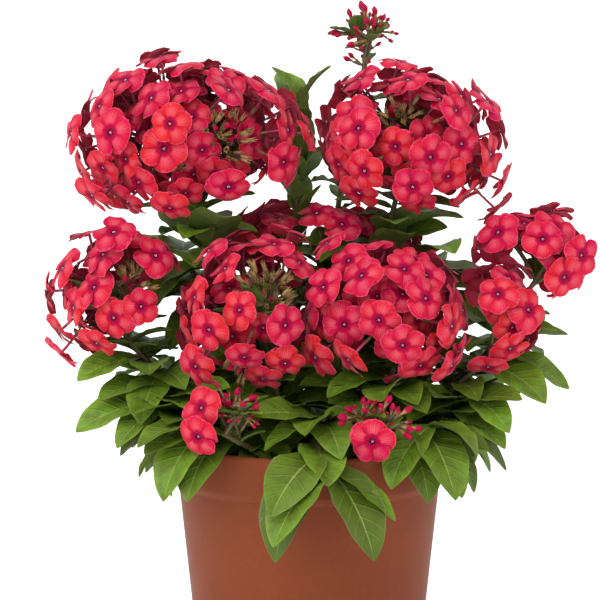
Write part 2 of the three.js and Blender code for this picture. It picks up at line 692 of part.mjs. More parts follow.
// A lens of a blade: one rib line above, one below and the two edges, drawn together at the pointed tip and
// into an upright edge at the root, inside the stem.
function leafSolid(leaf) {
  const above = [];
  const below = [];
  for (const share of [0, ...LEAF_STATIONS.map(([share]) => share)]) {
    above.push(leafPoint(leaf, share, 0, LEAF_THICKNESS / 2));
    below.push(leafPoint(leaf, share, 0, -LEAF_THICKNESS / 2));
  }
  const tip = leafPoint(leaf, 1, 0, 0);
  const points = [...above, ...below, tip];
  const tipIndex = points.length - 1;
  const faces = [];
  for (const side of [-1, 1]) {
    const edge = points.length;
    for (const [share, breadth] of LEAF_STATIONS) {
      points.push(leafPoint(leaf, share, 0.5 * side * breadth * leaf.width, 0));
    }
    for (const [first, turned] of [[0, side < 0], [above.length, side > 0]]) {
      const strip = [[first, first + 1, edge]];
      LEAF_STATIONS.forEach((station, i) => {
        const last = i + 1 === LEAF_STATIONS.length;
        strip.push([edge + i, first + i + 1, last ? tipIndex : first + i + 2]);
        if (!last) strip.push([edge + i, first + i + 2, edge + i + 1]);
      });
      strip.forEach((face) => faces.push(turned ? face.reverse() : face));
    }
    faces.push(side < 0 ? [0, above.length, edge] : [0, edge, above.length]);
  }
  return meshSolid(points, faces);
}

// The stem stands upright in the mix and bends only above it.
function stemSolid({ foot, joints }, leaves) {
  const outline = new THREE.EllipseCurve(0, 0, STEM_RADIUS, STEM_RADIUS).getPoints(STEM_SIDES);
  const ring = new THREE.Shape(outline.slice(1));
  const extrudePath = new JointedPath([foot, ...joints]);
  const tube = new THREE.ExtrudeGeometry(ring, { steps: joints.length, extrudePath, bevelEnabled: false });
  return joined([solidOf(tube), ...leaves.map(leafSolid)]);
}

// ---------------------------------------------------------------- pot and potting mix

function wallRadius(height) {
  return BASE_RADIUS + ((WALL_TOP_RADIUS - BASE_RADIUS) * height) / COLLAR_FOOT;
}

function lathe(profile) {
  const points = profile.map(([radius, height]) => new THREE.Vector2(radius, height));
  return solidOf(new THREE.LatheGeometry(points, ROUND_SIDES).rotateX(Math.PI / 2));
}

function potGeometry() {
  const channelOuter = BASE_RADIUS - FOOT_WIDTH;
  const channelInner = DRAIN_RING_RADIUS - 2.5 * DRAIN_HOLE_RADIUS;
  let pot = lathe([
    [0, 0], [channelInner, 0], [channelInner + 1, CHANNEL_DEPTH], [channelOuter - 1, CHANNEL_DEPTH],
    [channelOuter, 0], [wallRadius(0), 0], [wallRadius(COLLAR_FOOT), COLLAR_FOOT],
    [POT_RIM_RADIUS - 3, COLLAR_FOOT + 0.5], [POT_RIM_RADIUS - 1, COLLAR_FOOT + 4],
    [POT_RIM_RADIUS, POT_HEIGHT - 1.5], [POT_RIM_RADIUS - 1.2, POT_HEIGHT], [RIM_INNER_RADIUS, POT_HEIGHT],
    [RIM_INNER_RADIUS - 1, COLLAR_FOOT + 4], [wallRadius(COLLAR_FOOT) - WALL_THICKNESS, COLLAR_FOOT],
    [wallRadius(BASE_THICKNESS) - WALL_THICKNESS, BASE_THICKNESS], [0, BASE_THICKNESS],
  ]);
  for (let i = 0; i < DRAIN_HOLES; i++) {
    const angle = (2 * Math.PI * i) / DRAIN_HOLES;
    const below = new THREE.Vector3(Math.cos(angle), Math.sin(angle), 0).multiplyScalar(DRAIN_RING_RADIUS);
    below.setZ(-1);
    const above = below.clone().setZ(BASE_THICKNESS + 1);
    pot = pot.subtract(rodSolid(below, above, DRAIN_HOLE_RADIUS, DRAIN_HOLE_SIDES));
  }
  return geometryOf(pot);
}

// The mix fills the pot, clear of it by a hair, with a plain hole for each stem.
function pottingMixGeometry(lines) {
  const inside = WALL_THICKNESS + CLEARANCE;
  const floor = BASE_THICKNESS + CLEARANCE;
  let mix = lathe([
    [0, floor], [wallRadius(floor) - inside, floor],
    [wallRadius(COLLAR_FOOT) - inside, COLLAR_FOOT + CLEARANCE],
    [RIM_INNER_RADIUS - 1 - 2 * CLEARANCE, COLLAR_FOOT + 4], [RIM_INNER_RADIUS - 1, SOIL_EDGE_HEIGHT],
    [0.6 * RIM_INNER_RADIUS, SOIL_CROWN_HEIGHT - 1.5], [0, SOIL_CROWN_HEIGHT],
  ]);
  for (const { foot, joints } of lines) {
    const bottom = foot.clone().addScaledVector(UP, -CLEARANCE);
    const top = joints[0].clone().addScaledVector(UP, CLEARANCE);
    mix = mix.subtract(rodSolid(bottom, top, STEM_RADIUS + HOLE_SLACK, HOLE_SIDES));
  }
  return joined([mix]);
}

// ---------------------------------------------------------------- the plant

const FINISHES = {
  pot: { color: 0x9a5138, roughness: 0.5 },
  mix: { color: 0x3a2a20, roughness: 1 },
  foliage: { color: 0x3f6a1e, roughness: 0.55 },
  florets: { color: 0xe0304a, roughness: 0.5 },
  buds: { color: 0xc01a50, roughness: 0.5 },
};

const materials = {};
for (const [name, finish] of Object.entries(FINISHES)) {
  materials[name] = new THREE.MeshStandardMaterial({ name, metalness: 0, ...finish });
}

const plant = new THREE.Group();

function add(name, geometry, finish) {
  const mesh = new THREE.Mesh(geometry, materials[finish]);
  mesh.name = name;
  plant.add(mesh);
}

const lines = STEMS.map(stemLine);
lines.forEach((line) => claim(ballsOfStem(line), line.stem.name));
add("pot", potGeometry(), "pot");
add("potting_mix", pottingMixGeometry(lines), "mix");
for (const layout of [...HEADS, ...BUD_HEADS].map(layOutHead)) {
  add(layout.head.name, headSolid(layout), HEADS.includes(layout.head) ? "florets" : "buds");
}
lines.forEach((line, index) => add(line.stem.name, stemSolid(line, layOutLeaves(line, index)), "foliage"));

export default plant;
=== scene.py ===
"""Dresses a packed garden phlox in its nursery pot: petals, stalks, leaves, pot, mix, floor and light."""

import functools
import itertools
import json
import math

import bpy
import numpy as np
from mathutils import Matrix, Vector

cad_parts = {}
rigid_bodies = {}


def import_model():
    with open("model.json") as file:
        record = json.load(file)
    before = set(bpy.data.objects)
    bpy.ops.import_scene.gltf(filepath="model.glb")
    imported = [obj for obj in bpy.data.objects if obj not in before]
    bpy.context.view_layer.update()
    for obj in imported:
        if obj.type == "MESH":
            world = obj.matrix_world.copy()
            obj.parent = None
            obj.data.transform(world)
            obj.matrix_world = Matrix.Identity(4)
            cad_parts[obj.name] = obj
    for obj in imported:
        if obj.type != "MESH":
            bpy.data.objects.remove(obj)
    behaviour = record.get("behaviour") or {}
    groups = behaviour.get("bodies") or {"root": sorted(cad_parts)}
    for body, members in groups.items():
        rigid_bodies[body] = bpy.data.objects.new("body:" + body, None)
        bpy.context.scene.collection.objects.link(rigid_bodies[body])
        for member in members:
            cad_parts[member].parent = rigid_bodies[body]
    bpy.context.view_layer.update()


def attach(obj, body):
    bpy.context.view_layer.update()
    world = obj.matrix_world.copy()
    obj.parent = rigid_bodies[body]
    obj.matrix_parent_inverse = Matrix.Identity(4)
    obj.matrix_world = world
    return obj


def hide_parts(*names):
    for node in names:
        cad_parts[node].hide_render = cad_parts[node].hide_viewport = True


bl_info = {
    "name": "Potted Garden Phlox",
    "version": (1, 0, 0),
    "blender": (4, 5, 0),
    "location": "3D View > Sidebar > Phlox",
    "description": "Builds the flower heads, leafy stems and pot of a garden phlox around its frame",
    "category": "Add Mesh",
}

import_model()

# ---------------------------------------------------------------- sizes, in millimetres

MM = 0.001
POT_HEIGHT = 135.0
POT_RIM_RADIUS = 85.0
RIM_INNER_RADIUS = 82.2
COLLAR_FOOT = 107.0
WALL_TOP_RADIUS = 80.2
BASE_RADIUS = 69.0
BASE_THICKNESS = 3.0
FOOT_WIDTH = 7.0
CHANNEL_DEPTH = 1.2
DRAIN_HOLES = 6
DRAIN_HOLE_RADIUS = 4.5
DRAIN_RING_RADIUS = 42.0
SOIL_EDGE_HEIGHT = 119.0
SOIL_CROWN_HEIGHT = 123.0
CLEARANCE = 0.3

FLORET_DIAMETER = 29.0
FLORET_SPREAD = 0.08
NEIGHBOUR_DISTANCE = 1.3 * FLORET_DIAMETER
FLORET_BALL_RADIUS = 5.0
TUBE_BALL_RADIUS = 3.0
TUBE_BALL_SHARES = (0.25, 0.45, 0.65, 0.9)
PETALS = 5
EDGE_SHARE = 0.46
LOBE_SHARE = 0.37
THROAT_DEPTH = 3.4
RIM_FALL = 1.1

CYME_SPREAD = 0.84
CYME_DEPTH = 0.46
REACH_SPREAD = 0.12
FLORET_WANDER = 0.2
FACING_WANDER = 0.4
FAN_SHARE = 0.5
LEVELS = 5
LEVEL_STEP = 3.0
BLADE_GAP = 0.3
BUD_REACH = 0.86
BUD_WANDER = 0.25
BUD_PAIR_SPREAD = 0.14
BUD_RADIUS = 1.5
BUD_MARGIN = 1.5
BUD_BALL_SHARES = (0.5, 1)
RACHIS_RADIUS = 2.0
RACHIS_REACH = 0.2
RACHIS_BALL_SHARES = (0, 0.2, 0.4, 0.6, 0.8, 1)
BRANCHED_SHARE = 0.6
BRANCH_RADIUS = 1.2
BRANCH_BALL_SHARES = (0.3, 0.6, 1)
STALK_MARGIN = 1.0
FOOT_OFFSET = 1.2

STEM_RADIUS = 2.1
STEM_MARGIN = 1.5
STEM_BALLS = 50
STEM_STEP = 28.0
STEM_DEPTH = 12.0
STEM_APPROACH = 0.35
FEWEST_LENGTHS = 3
FIRST_STEM_SEED = 101

LEAF_SEAT = 0.9
LEAF_BREADTH = 0.43
LEAF_FOLD = math.radians(14)
YOUNG_LEAF_SHARE = 0.3
TURN_TO_LIGHT = 0.5
BEARING_WANDER = 0.35
LENGTH_SPREAD = 0.1
DROOP_SPREAD = 0.2
LOWEST_DROOP = 1.2
HIGHEST_DROOP = 0.8
ROLL_WANDER = 0.7
LEAF_BALL_RADIUS = 3.2
LEAF_BALL_SHARES = (0.25, 0.42, 0.58, 0.74, 0.9)
LEAF_NARROWS_AT = 0.8
LEAF_BALL_SIDE = 0.32
LEAF_TIP_SIDE = 0.12
LEAF_DISTANCE = 5.5
LEAF_ROOT_SHARE = 0.3
RIM_WIDTH = 4.0
RIM_ROOM = 0.5

# Smaller leaves between the pairs. Pairs of numbers are the least and the most that a draw adds.
FIRST_INNER_SEED = 301
INNER_LEAVES_PER_PAIR = 5
RIM_LEAVES_PER_PAIR = 2
LEVEL_RISE = -10
INNER_FROM = 0.14
INNER_BALL_RADIUS = 1.2
INNER_DISTANCE = 3.6
INNER_TURN = 0.6
INNER_LENGTH = (0.7, 0.35)
INNER_DROOP = (0.5, 0.9)
INNER_RISE = 8
INNER_AGE = 0.6

# How a leaf gives way, one way after the other: how much of its length it keeps, and how many degrees it
# turns aside and bends down.
LEAF_TRIES = list(itertools.product((1, 0.86, 0.72), (0, 16, -16, 32, -32), (0, 14, -14)))
INNER_TRIES = list(itertools.product((1, 0.8, 0.62), (0, 30, -30, 60, -60), (0, 22, -22)))

GOLDEN_ANGLE = math.pi * (3 - math.sqrt(5))
UP = np.array([0.0, 0.0, 1.0])
ALL_AROUND = [((0, 0, 1), 180)]


def table(fields, rows):
    return [dict(zip(fields, row)) for row in rows]


# Flower heads: name, seed, centre, radii, lean, florets, cymes, how far down florets reach, the bare patches
# (toward, reach in degrees) and the strays (toward, reach). They stand where the frame's heads stand.
HEAD_FIELDS = ("name", "seed", "centre", "radii", "lean", "florets", "cymes", "widest", "bare", "strays")
HEADS = table(HEAD_FIELDS, [
    ("head_upper_left", 18, (-70, 6, 312), (65, 54, 51), (-0.12, -0.15, 1), 50, 8, 118,
     [((0.5, -0.82, 0.25), 25), ((-0.05, -1, -0.25), 14)],
     [((-0.8, -0.45, -0.42), 1.02), ((-0.6, -0.55, -0.62), 0.98)]),
    ("head_upper_right", 55, (58, 15, 309), (55, 50, 47), (0.08, -0.15, 1), 42, 7, 118,
     [((0, -0.88, 0.48), 24)],
     [((0.93, -0.1, -0.35), 1.2), ((0.83, -0.15, -0.62), 1.25)]),
    ("head_front_right", 50, (46, -34, 212), (46, 42, 44), (0.12, -0.2, 1), 34, 5, 116,
     [],
     [((0.72, -0.6, -0.5), 1.15)]),
    ("head_low_right", 8, (109, -24, 208), (25, 27, 35), (0.1, -0.5, 1), 16, 2, 112, [], []),
    ("head_front_left", 20, (-27, -36, 212), (46, 42, 50), (-0.1, -0.1, 1), 35, 6, 116,
     [((0.02, -0.85, 0.5), 30), ((-0.42, -0.62, -0.66), 18)],
     []),
    ("head_left", 38, (-110, -22, 219), (41, 36, 43), (-0.3, -0.15, 1), 22, 3, 110,
     [((0.15, -0.8, 0.5), 24)],
     [((-0.85, -0.1, -0.62), 1.22), ((-0.1, -0.75, 1.2), 1.02)]),
    ("head_right", 54, (132, -8, 241), (37, 34, 32), (0.2, -0.4, 1), 17, 3, 100, [], []),
    ("head_middle", 1, (6, 26, 246), (60, 32, 27), (0, -0.15, 1), 39, 6, 100, [], []),
])
BUD_HEADS = table(HEAD_FIELDS, [
    ("bud_head_top", 83, (37, 44, 372), (26, 18, 22), (0, 0, 1), 8, 3, 95, ALL_AROUND, []),
    ("bud_head_front", 89, (38, -84, 150), (31, 22, 22), (0.1, -0.5, 1), 9, 3, 84, ALL_AROUND,
     [((-0.1, -1, -0.05), 0.8)]),
    ("bud_head_front_left", 97, (-45, -76, 154), (26, 20, 24), (-0.1, -0.4, 1), 6, 2, 84, ALL_AROUND,
     [((-0.72, -0.6, 0.55), 1.05), ((-0.62, -0.75, -0.1), 1.1)]),
])

# Leafy stems: name, the head it bears or the way its tip leans, base, tip, lift, pairs of leaves, the shares
# of the stem between which they grow, the first pair's bearing, leaf length, and the leaf's rise and droop.
STEM_FIELDS = ("name", "ends", "base", "tip", "lift", "pairs", "from", "to", "turn", "length", "rise",
               "droop")
STEMS = table(STEM_FIELDS, [
    ("shoot_front_left", (-0.5, -0.5, 0.4), (-40, -34), (-66, -66, 152), 24, 4, 0.5, 0.98, 250, 60, -14, 56),
    ("shoot_left", (-0.6, -0.4, 0.5), (-58, -20), (-92, -40, 164), 24, 4, 0.48, 0.98, 225, 54, -4, 42),
    ("shoot_front", (0.02, -0.75, -0.5), (0, -48), (8, -101, 131), 34, 3, 0.72, 0.98, 232, 66, -34, 36),
    ("shoot_centre", (0, -0.8, 0.3), (2, -30), (8, -66, 156), 26, 3, 0.55, 0.98, 205, 50, -5, 48),
    ("shoot_front_right", (0.5, -0.5, 0.4), (42, -36), (74, -62, 152), 24, 4, 0.5, 0.98, -70, 60, -14, 56),
    ("shoot_right", (0.6, -0.4, 0.5), (60, -14), (96, -30, 164), 24, 5, 0.42, 0.98, -45, 54, -4, 42),
    ("shoot_back_right", (0.5, 0.5, 0.5), (46, 38), (80, 60, 162), 24, 2, 0.5, 0.98, 40, 54, 0, 45),
    ("shoot_back_left", (-0.5, 0.5, 0.5), (-46, 36), (-80, 62, 162), 24, 2, 0.5, 0.98, 130, 54, 0, 45),
    ("shoot_middle_right", (0.3, -0.5, 0.6), (40, 18), (74, 24, 244), 60, 3, 0.6, 0.98, -80, 52, 20, 55),
    ("shoot_middle_left", (-0.3, -0.5, 0.6), (-36, 16), (-80, 24, 246), 60, 3, 0.6, 0.98, 260, 52, 20, 55),
    ("stem_bud_front", "bud_head_front", (24, -44), (35, -74, 139), 20, 2, 0.5, 0.85, 20, 38, 5, 45),
    ("stem_bud_front_left", "bud_head_front_left", (-24, -42), (-40, -68, 142), 20, 2, 0.5, 0.85, 150, 38,
     5, 45),
    ("stem_upper_left", "head_upper_left", (-26, 12), (-64, 8, 262), 70, 6, 0.3, 0.94, 200, 60, 22, 62),
    ("stem_upper_right", "head_upper_right", (24, 14), (50, 18, 264), 70, 6, 0.3, 0.94, -20, 60, 22, 62),
    ("stem_front_left", "head_front_left", (-14, -14), (-20, -34, 168), 26, 3, 0.5, 0.9, 250, 52, 5, 52),
    ("stem_front_right", "head_front_right", (20, -18), (50, -30, 178), 26, 4, 0.45, 0.9, -60, 52, 5, 52),
    ("stem_left", "head_left", (-46, -6), (-102, -20, 188), 30, 5, 0.42, 0.95, 215, 54, 8, 52),
    ("stem_right", "head_right", (48, 2), (124, -4, 210), 30, 5, 0.4, 0.95, -40, 56, 8, 52),
    ("stem_low_right", "head_low_right", (37, -9), (96, -20, 174), 30, 3, 0.5, 0.9, -60, 50, 5, 52),
    ("stem_middle", "head_middle", (4, 6), (6, 23, 218), 40, 3, 0.4, 0.92, 60, 50, 8, 52),
    ("stem_top", "bud_head_top", (8, 28), (33, 46, 350), 120, 4, 0.8, 0.99, 190, 24, 30, 40),
    ("shoot_top", (0, -0.1, 1), (-12, 26), (-6, 34, 336), 120, 4, 0.74, 0.99, 250, 38, 58, 40),
])

# ---------------------------------------------------------------- small tools for the layout

SEED_STEP = 7919
SEED_START = 17
STREAM_FACTOR = 16807
STREAM_SIZE = 2147483647
NEARLY_UPRIGHT = 0.9
CLAIM_REACH = 12.0


def random_stream(seed):
    """Even numbers from 0 to 1, the same for the same seed."""
    state = seed * SEED_STEP + SEED_START

    def draw():
        nonlocal state
        state = (state * STREAM_FACTOR) % STREAM_SIZE
        return state / STREAM_SIZE

    return draw


def drawn(draw, limits):
    """A number from the least upwards; the limits are the least and the most that a draw adds."""
    least, spread = limits
    return least + spread * draw()


def centred(draw, width):
    """A number around 0, from half the width below it to half above."""
    return width * (draw() - 0.5)


def varied(draw, spread):
    """A factor around 1."""
    return 1 + spread * (2 * draw() - 1)


def drift(draw):
    return vec((draw(), draw(), draw())) - 0.5


def vec(values):
    return np.array(values, float)


def unit(values):
    values = vec(values)
    return values / math.sqrt(values @ values)


def distance(a, b):
    return math.sqrt((a - b) @ (a - b))


def angle_between(a, b):
    return math.acos(max(-1.0, min(1.0, (a @ b) / math.sqrt((a @ a) * (b @ b)))))


def turn_between(start, end):
    """The quaternion, as x, y, z and w, that turns one unit vector into another."""
    turn = np.array([*np.cross(start, end), start @ end + 1.0])
    return turn / math.sqrt(turn @ turn)


def turned(values, turn):
    half = 2 * np.cross(turn[:3], values)
    return values + turn[3] * half + np.cross(turn[:3], half)


def compass(bearing):
    """The level unit vector at a bearing."""
    return vec((math.cos(bearing), math.sin(bearing), 0))


def across(facing, spin):
    """Two unit vectors at right angles across a facing direction."""
    reference = UP if abs(facing[2]) < NEARLY_UPRIGHT else vec((1, 0, 0))
    side = unit(np.cross(reference, facing))
    u = side * math.cos(spin) + np.cross(facing, side) * math.sin(spin)
    return u, np.cross(facing, u)


def balls_along(start, end, shares, radius):
    return [(start + (end - start) * share, radius) for share in shares]


class Claims:
    """Balls along everything that is already placed, each with the name of the node that owns it."""

    def __init__(self):
        self.at = np.zeros((0, 3))
        self.radius = np.zeros(0)
        self.owner = np.zeros(0, object)

    def add(self, balls, owner):
        if balls:
            self.at = np.vstack([self.at, [ball[0] for ball in balls]])
            self.radius = np.append(self.radius, [ball[1] for ball in balls])
            self.owner = np.append(self.owner, np.array([owner] * len(balls), object))

    def clear(self, balls, owner):
        """Whether the balls are clear of every other node's."""
        at = vec([ball[0] for ball in balls])
        low, high = at.min(0) - CLAIM_REACH, at.max(0) + CLAIM_REACH
        others = ((self.at > low) & (self.at < high)).all(1) & (self.owner != owner)
        gaps = np.linalg.norm(at[:, None] - self.at[others][None], axis=2)
        reach = vec([ball[1] for ball in balls])[:, None] + self.radius[others][None]
        return bool((gaps > reach).all())


# ---------------------------------------------------------------- layout of stems, heads and leaves


def bezier(points, share):
    a, b, c, d = points
    rest = 1 - share
    return rest ** 3 * a + 3 * rest ** 2 * share * b + 3 * rest * share ** 2 * c + share ** 3 * d


def stem_line(stem):
    """The stem's line: upright in the mix, then bending to its tip."""
    foot = vec((*stem["base"], SOIL_EDGE_HEIGHT - STEM_DEPTH))
    end = vec(stem["tip"])
    borne = next((head for head in HEADS + BUD_HEADS if head["name"] == stem["ends"]), None)
    heading = unit(vec(borne["centre"]) - end) if borne else unit(stem["ends"])
    mouth = vec((*stem["base"], SOIL_CROWN_HEIGHT))
    reach = distance(end, mouth)
    controls = (mouth, mouth + UP * stem["lift"], end - heading * STEM_APPROACH * reach, end)
    lengths = max(FEWEST_LENGTHS, math.floor(reach / STEM_STEP + 0.5))
    joints = [bezier(controls, i / lengths) for i in range(lengths + 1)]
    return {"stem": stem, "foot": foot, "joints": joints, "end": end, "heading": unit(end - joints[-2])}


def point_on_stem(line, share):
    joints = line["joints"]
    along = share * (len(joints) - 1)
    i = min(math.floor(along), len(joints) - 2)
    return joints[i] + (joints[i + 1] - joints[i]) * (along - i)


def spot_on_cap(index, count, widest):
    """Spot `index` of `count`, spread evenly over a cap that reaches `widest` down from its top."""
    height = 1 - ((index + 0.5) / count) * (1 - math.cos(widest))
    out = math.sqrt(1 - height * height)
    turn = index * GOLDEN_ANGLE
    return vec((out * math.cos(turn), out * math.sin(turn), height))


def on_dome(head, direction, share):
    return vec(head["centre"]) + direction * vec(head["radii"]) * share


def is_bare(head, direction, share=1.0):
    """Whether a direction lies in one of the head's bare patches, or in that share of its reach."""
    for toward, reach in head["bare"]:
        if angle_between(direction, vec(toward)) < math.radians(reach) * share:
            return True
    return False


def foot_on(knot, tip):
    return knot + unit(tip - knot) * FOOT_OFFSET


def nearest(cymes, point):
    best = cymes[0]
    for cyme in cymes:
        if distance(cyme["knot"], point) < distance(best["knot"], point):
            best = cyme
    return best


def floret_points(floret, radius, angles, height):
    u, v = floret["axes"]
    circle = np.outer(np.cos(angles), u) + np.outer(np.sin(angles), v)
    return floret["middle"] + radius * circle + floret["facing"] * height


RIM_ANGLES = np.pi * np.arange(2 * PETALS) / PETALS
LOBE_ANGLES = 2 * np.pi * np.arange(PETALS) / PETALS


def cuts_through(floret, other):
    """Whether the rim of one floret passes from below to above the blade of another."""
    rim = floret_points(floret, EDGE_SHARE * floret["diameter"], RIM_ANGLES, -RIM_FALL / 2)
    offset = rim - other["middle"]
    height = offset @ other["facing"]
    out = np.sqrt(np.maximum((offset ** 2).sum(1) - height ** 2, 0))
    reach = other["diameter"] / 2
    height = height[(out < reach) & (np.abs(height) < reach)] + RIM_FALL
    return len(height) > 0 and height.min() < BLADE_GAP and height.max() > -BLADE_GAP - THROAT_DEPTH / 2


def balls_of_floret(floret):
    lobes = floret_points(floret, LOBE_SHARE * floret["diameter"], LOBE_ANGLES, 0)
    balls = [(floret["middle"], FLORET_BALL_RADIUS)] + [(lobe, FLORET_BALL_RADIUS) for lobe in lobes]
    return balls + balls_along(floret["middle"], floret["foot"], TUBE_BALL_SHARES, TUBE_BALL_RADIUS)


def place_floret(florets, head, floret, claims):
    """Adds a floret, which faces out of the dome and away from its cyme.

    It stands at the level where it cuts the fewest others, and is left out where another node is in its way.
    """
    outward = unit(floret["direction"] / vec(head["radii"]))
    fanned = unit(floret["middle"] - floret["foot"])
    between = fanned * FAN_SHARE + outward * (1 - FAN_SHARE)
    floret["facing"] = unit(between + floret["wander"] * FACING_WANDER)
    floret["axes"] = across(floret["facing"], floret["spin"])
    near = [other for other in florets if distance(other["middle"], floret["middle"]) < NEIGHBOUR_DISTANCE]
    best = None
    for level in range(LEVELS):
        raised = dict(floret, middle=floret["middle"] + floret["facing"] * level * LEVEL_STEP)
        raised["cuts"] = sum(cuts_through(raised, other) or cuts_through(other, raised) for other in near)
        if best is None or raised["cuts"] < best["cuts"]:
            best = raised
    if claims.clear(balls_of_floret(best), head["name"]):
        florets.append(best)


def lay_out_cymes(head, leaning, draw, claims):
    """The knots at the ends of a head's branches, from which its florets fan out."""
    centre = vec(head["centre"])
    widest = math.radians(head["widest"] * CYME_SPREAD)
    cymes = []
    for i in range(head["cymes"]):
        direction = turned(spot_on_cap(i, head["cymes"], widest), leaning)
        reach = varied(draw, REACH_SPREAD)
        knot = on_dome(head, direction, CYME_DEPTH * reach)
        balls = balls_along(centre, knot, BRANCH_BALL_SHARES, BRANCH_RADIUS + STALK_MARGIN)
        if claims.clear(balls, head["name"]):
            cymes.append({"knot": knot, "reach": reach})
    return cymes


def lay_out_head(head, lines, claims):
    """Where every floret and bud of a head sits, on the stalk that carries on from its stem."""
    name = head["name"]
    line = next(line for line in lines if line["stem"]["ends"] == name)
    root = line["end"] + line["heading"] * CLEARANCE
    length = distance(root, vec(head["centre"])) + RACHIS_REACH * head["radii"][2]
    top = root + line["heading"] * length
    claims.add(balls_along(root, top, RACHIS_BALL_SHARES, RACHIS_RADIUS + STALK_MARGIN), name)
    draw = random_stream(head["seed"])
    leaning = turn_between(UP, unit(head["lean"]))
    cymes = lay_out_cymes(head, leaning, draw, claims)
    florets, buds, bud_balls = [], [], []
    for i in range(head["florets"]):
        wander = drift(draw)
        spin = draw() * 2 * math.pi
        diameter = FLORET_DIAMETER * varied(draw, FLORET_SPREAD)
        place = turned(spot_on_cap(i, head["florets"], math.radians(head["widest"])), leaning)
        direction = unit(place + wander * FLORET_WANDER)
        cyme = nearest(cymes, on_dome(head, direction, 1))
        if not is_bare(head, direction):
            middle = on_dome(head, direction, cyme["reach"])
            floret = {"middle": middle, "direction": direction, "wander": wander, "spin": spin,
                      "diameter": diameter, "foot": foot_on(cyme["knot"], middle)}
            place_floret(florets, head, floret, claims)
            continue
        for sideways in (-1, 1):
            aside = unit(direction + across(direction, spin)[0] * sideways * BUD_PAIR_SPREAD)
            tip = on_dome(head, aside, (BUD_REACH + sideways * BUD_WANDER * wander[0]) * cyme["reach"])
            balls = balls_along(cyme["knot"], tip, BUD_BALL_SHARES, BUD_RADIUS + BUD_MARGIN)
            if claims.clear(balls, name):
                buds.append({"tip": tip, "foot": foot_on(cyme["knot"], tip)})
                bud_balls += balls
    for toward, reach in head["strays"]:
        direction = unit(toward)
        middle = on_dome(head, direction, reach)
        foot = foot_on(nearest(cymes, middle)["knot"], middle)
        floret = {"middle": middle, "direction": direction, "wander": np.zeros(3), "spin": draw(),
                  "diameter": FLORET_DIAMETER, "foot": foot}
        place_floret(florets, head, floret, claims)
    for floret in florets:
        claims.add(balls_of_floret(floret), name)
    claims.add(bud_balls, name)
    return {"head": head, "root": root, "top": top, "cymes": cymes, "florets": florets, "buds": buds,
            "leaning": leaning}


def leaf_point(leaf, share, side, height=0.0):
    """Points of a leaf: `share` along its midrib, `side` off it and `height` above the blade."""
    share, side = np.broadcast_arrays(vec(share), vec(side))
    pitch = leaf["rise"] - leaf["droop"] * share
    level = compass(leaf["bearing"])
    beside = vec((-level[1], level[0], 0))
    face = np.multiply.outer(-np.sin(pitch), level) + np.multiply.outer(np.cos(pitch), UP)
    roll = (leaf["roll"] * share)[..., None]
    wide = beside * np.cos(roll) + face * np.sin(roll)
    high = face * np.cos(roll) - beside * np.sin(roll)
    out = (math.sin(leaf["rise"]) - np.sin(pitch)) / leaf["droop"]
    climb = (np.cos(pitch) - math.cos(leaf["rise"])) / leaf["droop"]
    spine = leaf["root"] + np.multiply.outer(out * leaf["length"], level)
    spine = spine + np.multiply.outer(climb * leaf["length"], UP)
    lift = np.abs(side) * math.sin(LEAF_FOLD) + height
    return spine + wide * (side * math.cos(LEAF_FOLD))[..., None] + high * lift[..., None]


def balls_of_leaf(leaf):
    shares = np.repeat(LEAF_BALL_SHARES, 3)
    reach = np.where(shares < LEAF_NARROWS_AT, LEAF_BALL_SIDE, LEAF_TIP_SIDE)
    sides = reach * leaf["width"] * np.tile((-1, 0, 1), len(LEAF_BALL_SHARES))
    return leaf_point(leaf, shares, sides), shares


def clear_of_pot(at):
    """The pot is round, so each ball is tested by how far out and how high it is."""
    out = np.hypot(at[:, 0], at[:, 1])
    within = out < POT_RIM_RADIUS - RIM_WIDTH - LEAF_BALL_RADIUS
    within &= at[:, 2] > SOIL_CROWN_HEIGHT + LEAF_BALL_RADIUS
    above = at[:, 2] > POT_HEIGHT + LEAF_BALL_RADIUS + RIM_ROOM
    outside = out > POT_RIM_RADIUS + LEAF_BALL_RADIUS + RIM_ROOM
    return bool((within | above | outside).all())


def apart(at, shares, leaves, least):
    """Leaves of one stem may meet near their roots only."""
    for other in leaves:
        near_root = np.minimum(shares[:, None], other["shares"][None]) < LEAF_ROOT_SHARE
        gaps = np.linalg.norm(at[:, None] - other["at"][None], axis=2)
        if not (near_root | (gaps > least)).all():
            return False
    return True


class LeafGrower:
    """Grows leaves on one stem, each in the first of the given tries at which it has room."""

    def __init__(self, line, claims, tries, ball_radius, least_distance):
        self.line = line
        self.claims = claims
        self.tries = tries
        self.ball_radius = ball_radius
        self.least_distance = least_distance
        self.grown = []
        self.others = line.get("leaves", [])

    def balls(self, at):
        return [(place, self.ball_radius) for place in at]

    def grow(self, along, bearing, rise, **draft):
        """Adds a leaf at a share of the stem's length; the bearing is in radians, the rise in degrees."""
        node = point_on_stem(self.line, along)
        for shorter, sideways, lower in self.tries:
            turn = bearing + math.radians(sideways)
            length = draft["length"] * shorter
            leaf = dict(draft, bearing=turn, rise=math.radians(rise - lower), length=length,
                        width=length * LEAF_BREADTH, root=node + compass(turn) * LEAF_SEAT)
            at, shares = balls_of_leaf(leaf)
            has_room = clear_of_pot(at) and apart(at, shares, self.others + self.grown, self.least_distance)
            if has_room and self.claims.clear(self.balls(at), self.line["stem"]["name"]):
                self.grown.append(dict(leaf, at=at, shares=shares))
                return

    def finish(self):
        """Claims the leaves' places and hands the leaves over."""
        for leaf in self.grown:
            self.claims.add(self.balls(leaf["at"]), self.line["stem"]["name"])
        return self.grown


